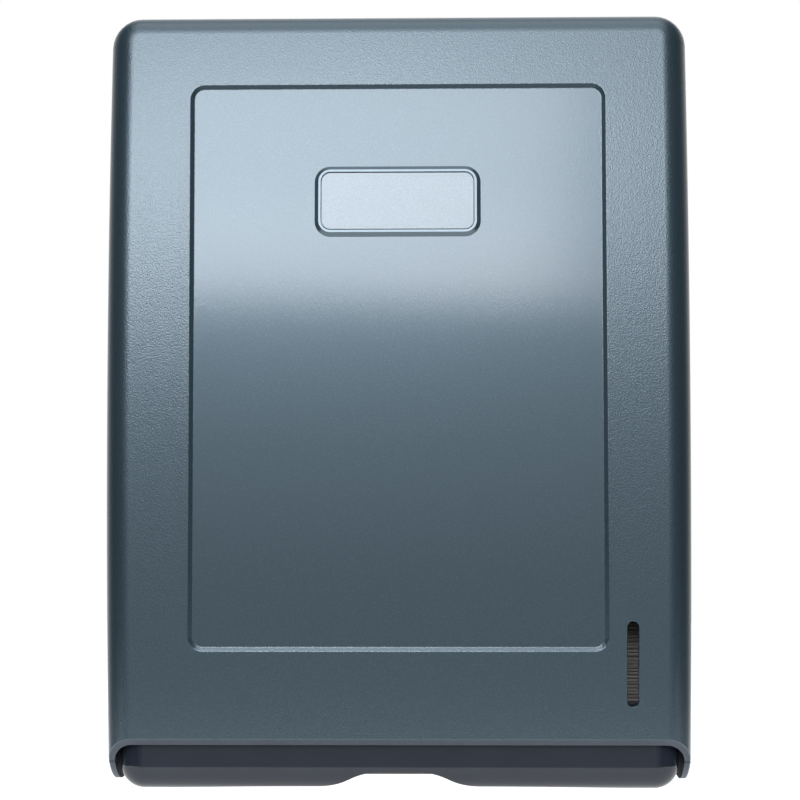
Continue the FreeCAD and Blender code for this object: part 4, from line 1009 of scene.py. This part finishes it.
# Badge
# A painted frame round a bare satin silver plate. Two studs on the frame go through the panel, and
# spring rings hold them behind it.
BADGE_HALF = (0.03975, 0.0171)
BADGE_HEIGHT = 0.2823
BADGE_CORNER = 0.0076
BADGE_BEVEL = 0.0018
BADGE_LAND = 0.0013
BADGE_THICKNESS = 0.0019
BADGE_ROUNDING = 0.0002
BADGE_BLUE = (0.095, 0.145, 0.18)
STUD_RADIUS = 0.0012
STUD_TAIL = 0.0012
PLATE_GAP = 0.00025
PLATE_THICKNESS = 0.0015


def set_on_panel(skin):
    """Move a piece from its own drawing plane to its place on the bowed panel."""
    centre = on_bow(0, BADGE_HEIGHT, PANEL_DEPTH)
    lean = Matrix.Rotation(-math.asin(bow_normal(centre).z), 3, "X")
    skin.points = [centre + lean @ point for point in skin.points]
    skin.normals = [lean @ normal for normal in skin.normals]
    return skin


def make_badge_frame():
    """The raised frame round the plate, with a stud behind each end."""
    skin = Skin()
    ring = BADGE_BEVEL + BADGE_LAND
    profile = section([(0, 0), (0, BADGE_BEVEL - BADGE_THICKNESS), (BADGE_BEVEL, -BADGE_THICKNESS),
                       (ring, -BADGE_THICKNESS), (ring, 0)], BADGE_ROUNDING)
    rows = sunk(round_rectangle((0, 0), BADGE_HALF, BADGE_CORNER), profile, on_level)
    skin.grid(rows)
    skin.strip([(point, REARWARD) for point, _ in rows[0]], [(point, REARWARD) for point, _ in rows[-1]])
    for side in (-1, 1):
        foot = Vector((side * (BADGE_HALF[0] - ring / 2), 0, 0))
        stud = [(STUD_RADIUS, 0), (STUD_RADIUS, WALL + STUD_TAIL), (0, WALL + STUD_TAIL)]
        skin.grid(turned(foot, REARWARD, section(stud, BADGE_ROUNDING)))
    return set_on_panel(skin)


def make_badge_plate():
    """The thin plate that lies in the frame, with softened edges."""
    skin = Skin()
    inset = BADGE_BEVEL + BADGE_LAND + PLATE_GAP
    outline = round_rectangle((0, 0), [half - inset for half in BADGE_HALF], BADGE_CORNER - inset)
    edge = section([(0, 0), (0, -PLATE_THICKNESS), (inset, -PLATE_THICKNESS)], BADGE_ROUNDING)[:-1]
    rows = sunk(outline, edge, on_level)
    skin.grid(rows)
    for row, facing in ((rows[0], REARWARD), (rows[-1], -REARWARD)):
        fill(skin, [points_of(row)], lambda p: (p.x, p.z), lambda p, facing=facing: facing)
    return set_on_panel(skin)


PLATE_SILVER = (0.28, 0.325, 0.36)
SATIN_METAL = 0.25
SATIN_LACQUER = 0.3
SATIN_LACQUER_ROUGHNESS = 0.2
SATIN_CLOUD_SIZE = 0.0006
SATIN_CLOUD = 0.1
SATIN_GRAIN_SIZE = 0.0003
SATIN_LAY = (5, 1, 1)
SATIN_SMOOTH = 0.32
SATIN_ROUGH = 0.42


def satin(name, base):
    """Satin silver lacquer on a thin plate: fine metal grain in the colour and the gloss."""
    material, tree, shader = new_finish(name, Metallic=SATIN_METAL, Coat_Weight=SATIN_LACQUER,
                                        Coat_Roughness=SATIN_LACQUER_ROUGHNESS)
    cloud = texture(tree, "TexNoise", SATIN_CLOUD_SIZE, Detail=3.0)
    shade(tree, shader, base, tune(tree, cloud, 1 - SATIN_CLOUD, 1 + SATIN_CLOUD))
    gloss = tune(tree, texture(tree, "TexNoise", SATIN_GRAIN_SIZE, SATIN_LAY, Detail=2.0),
                 SATIN_SMOOTH, SATIN_ROUGH)
    tree.links.new(gloss, shader.inputs["Roughness"])
    emboss(tree, shader, texture(tree, "TexNoise", SATIN_GRAIN_SIZE, Detail=2.0), MARK_DEPTH)
    return material


badge_paint = paint("badge_paint", BADGE_BLUE, lacquer=0.1,
                    grain_size=0.0009, grain_depth=0.000004, fleck=0.1)
badge_silver = satin("badge_silver", PLATE_SILVER)
badge_frame = make_badge_frame().build("badge_surround", [badge_paint])
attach(badge_frame, "cover")
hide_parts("badge_frame")
badge_plate = make_badge_plate().build("badge_face", [badge_silver])
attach(badge_plate, "cover")
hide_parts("badge_plate")
dress(spring_steel, "badge_push_nuts")
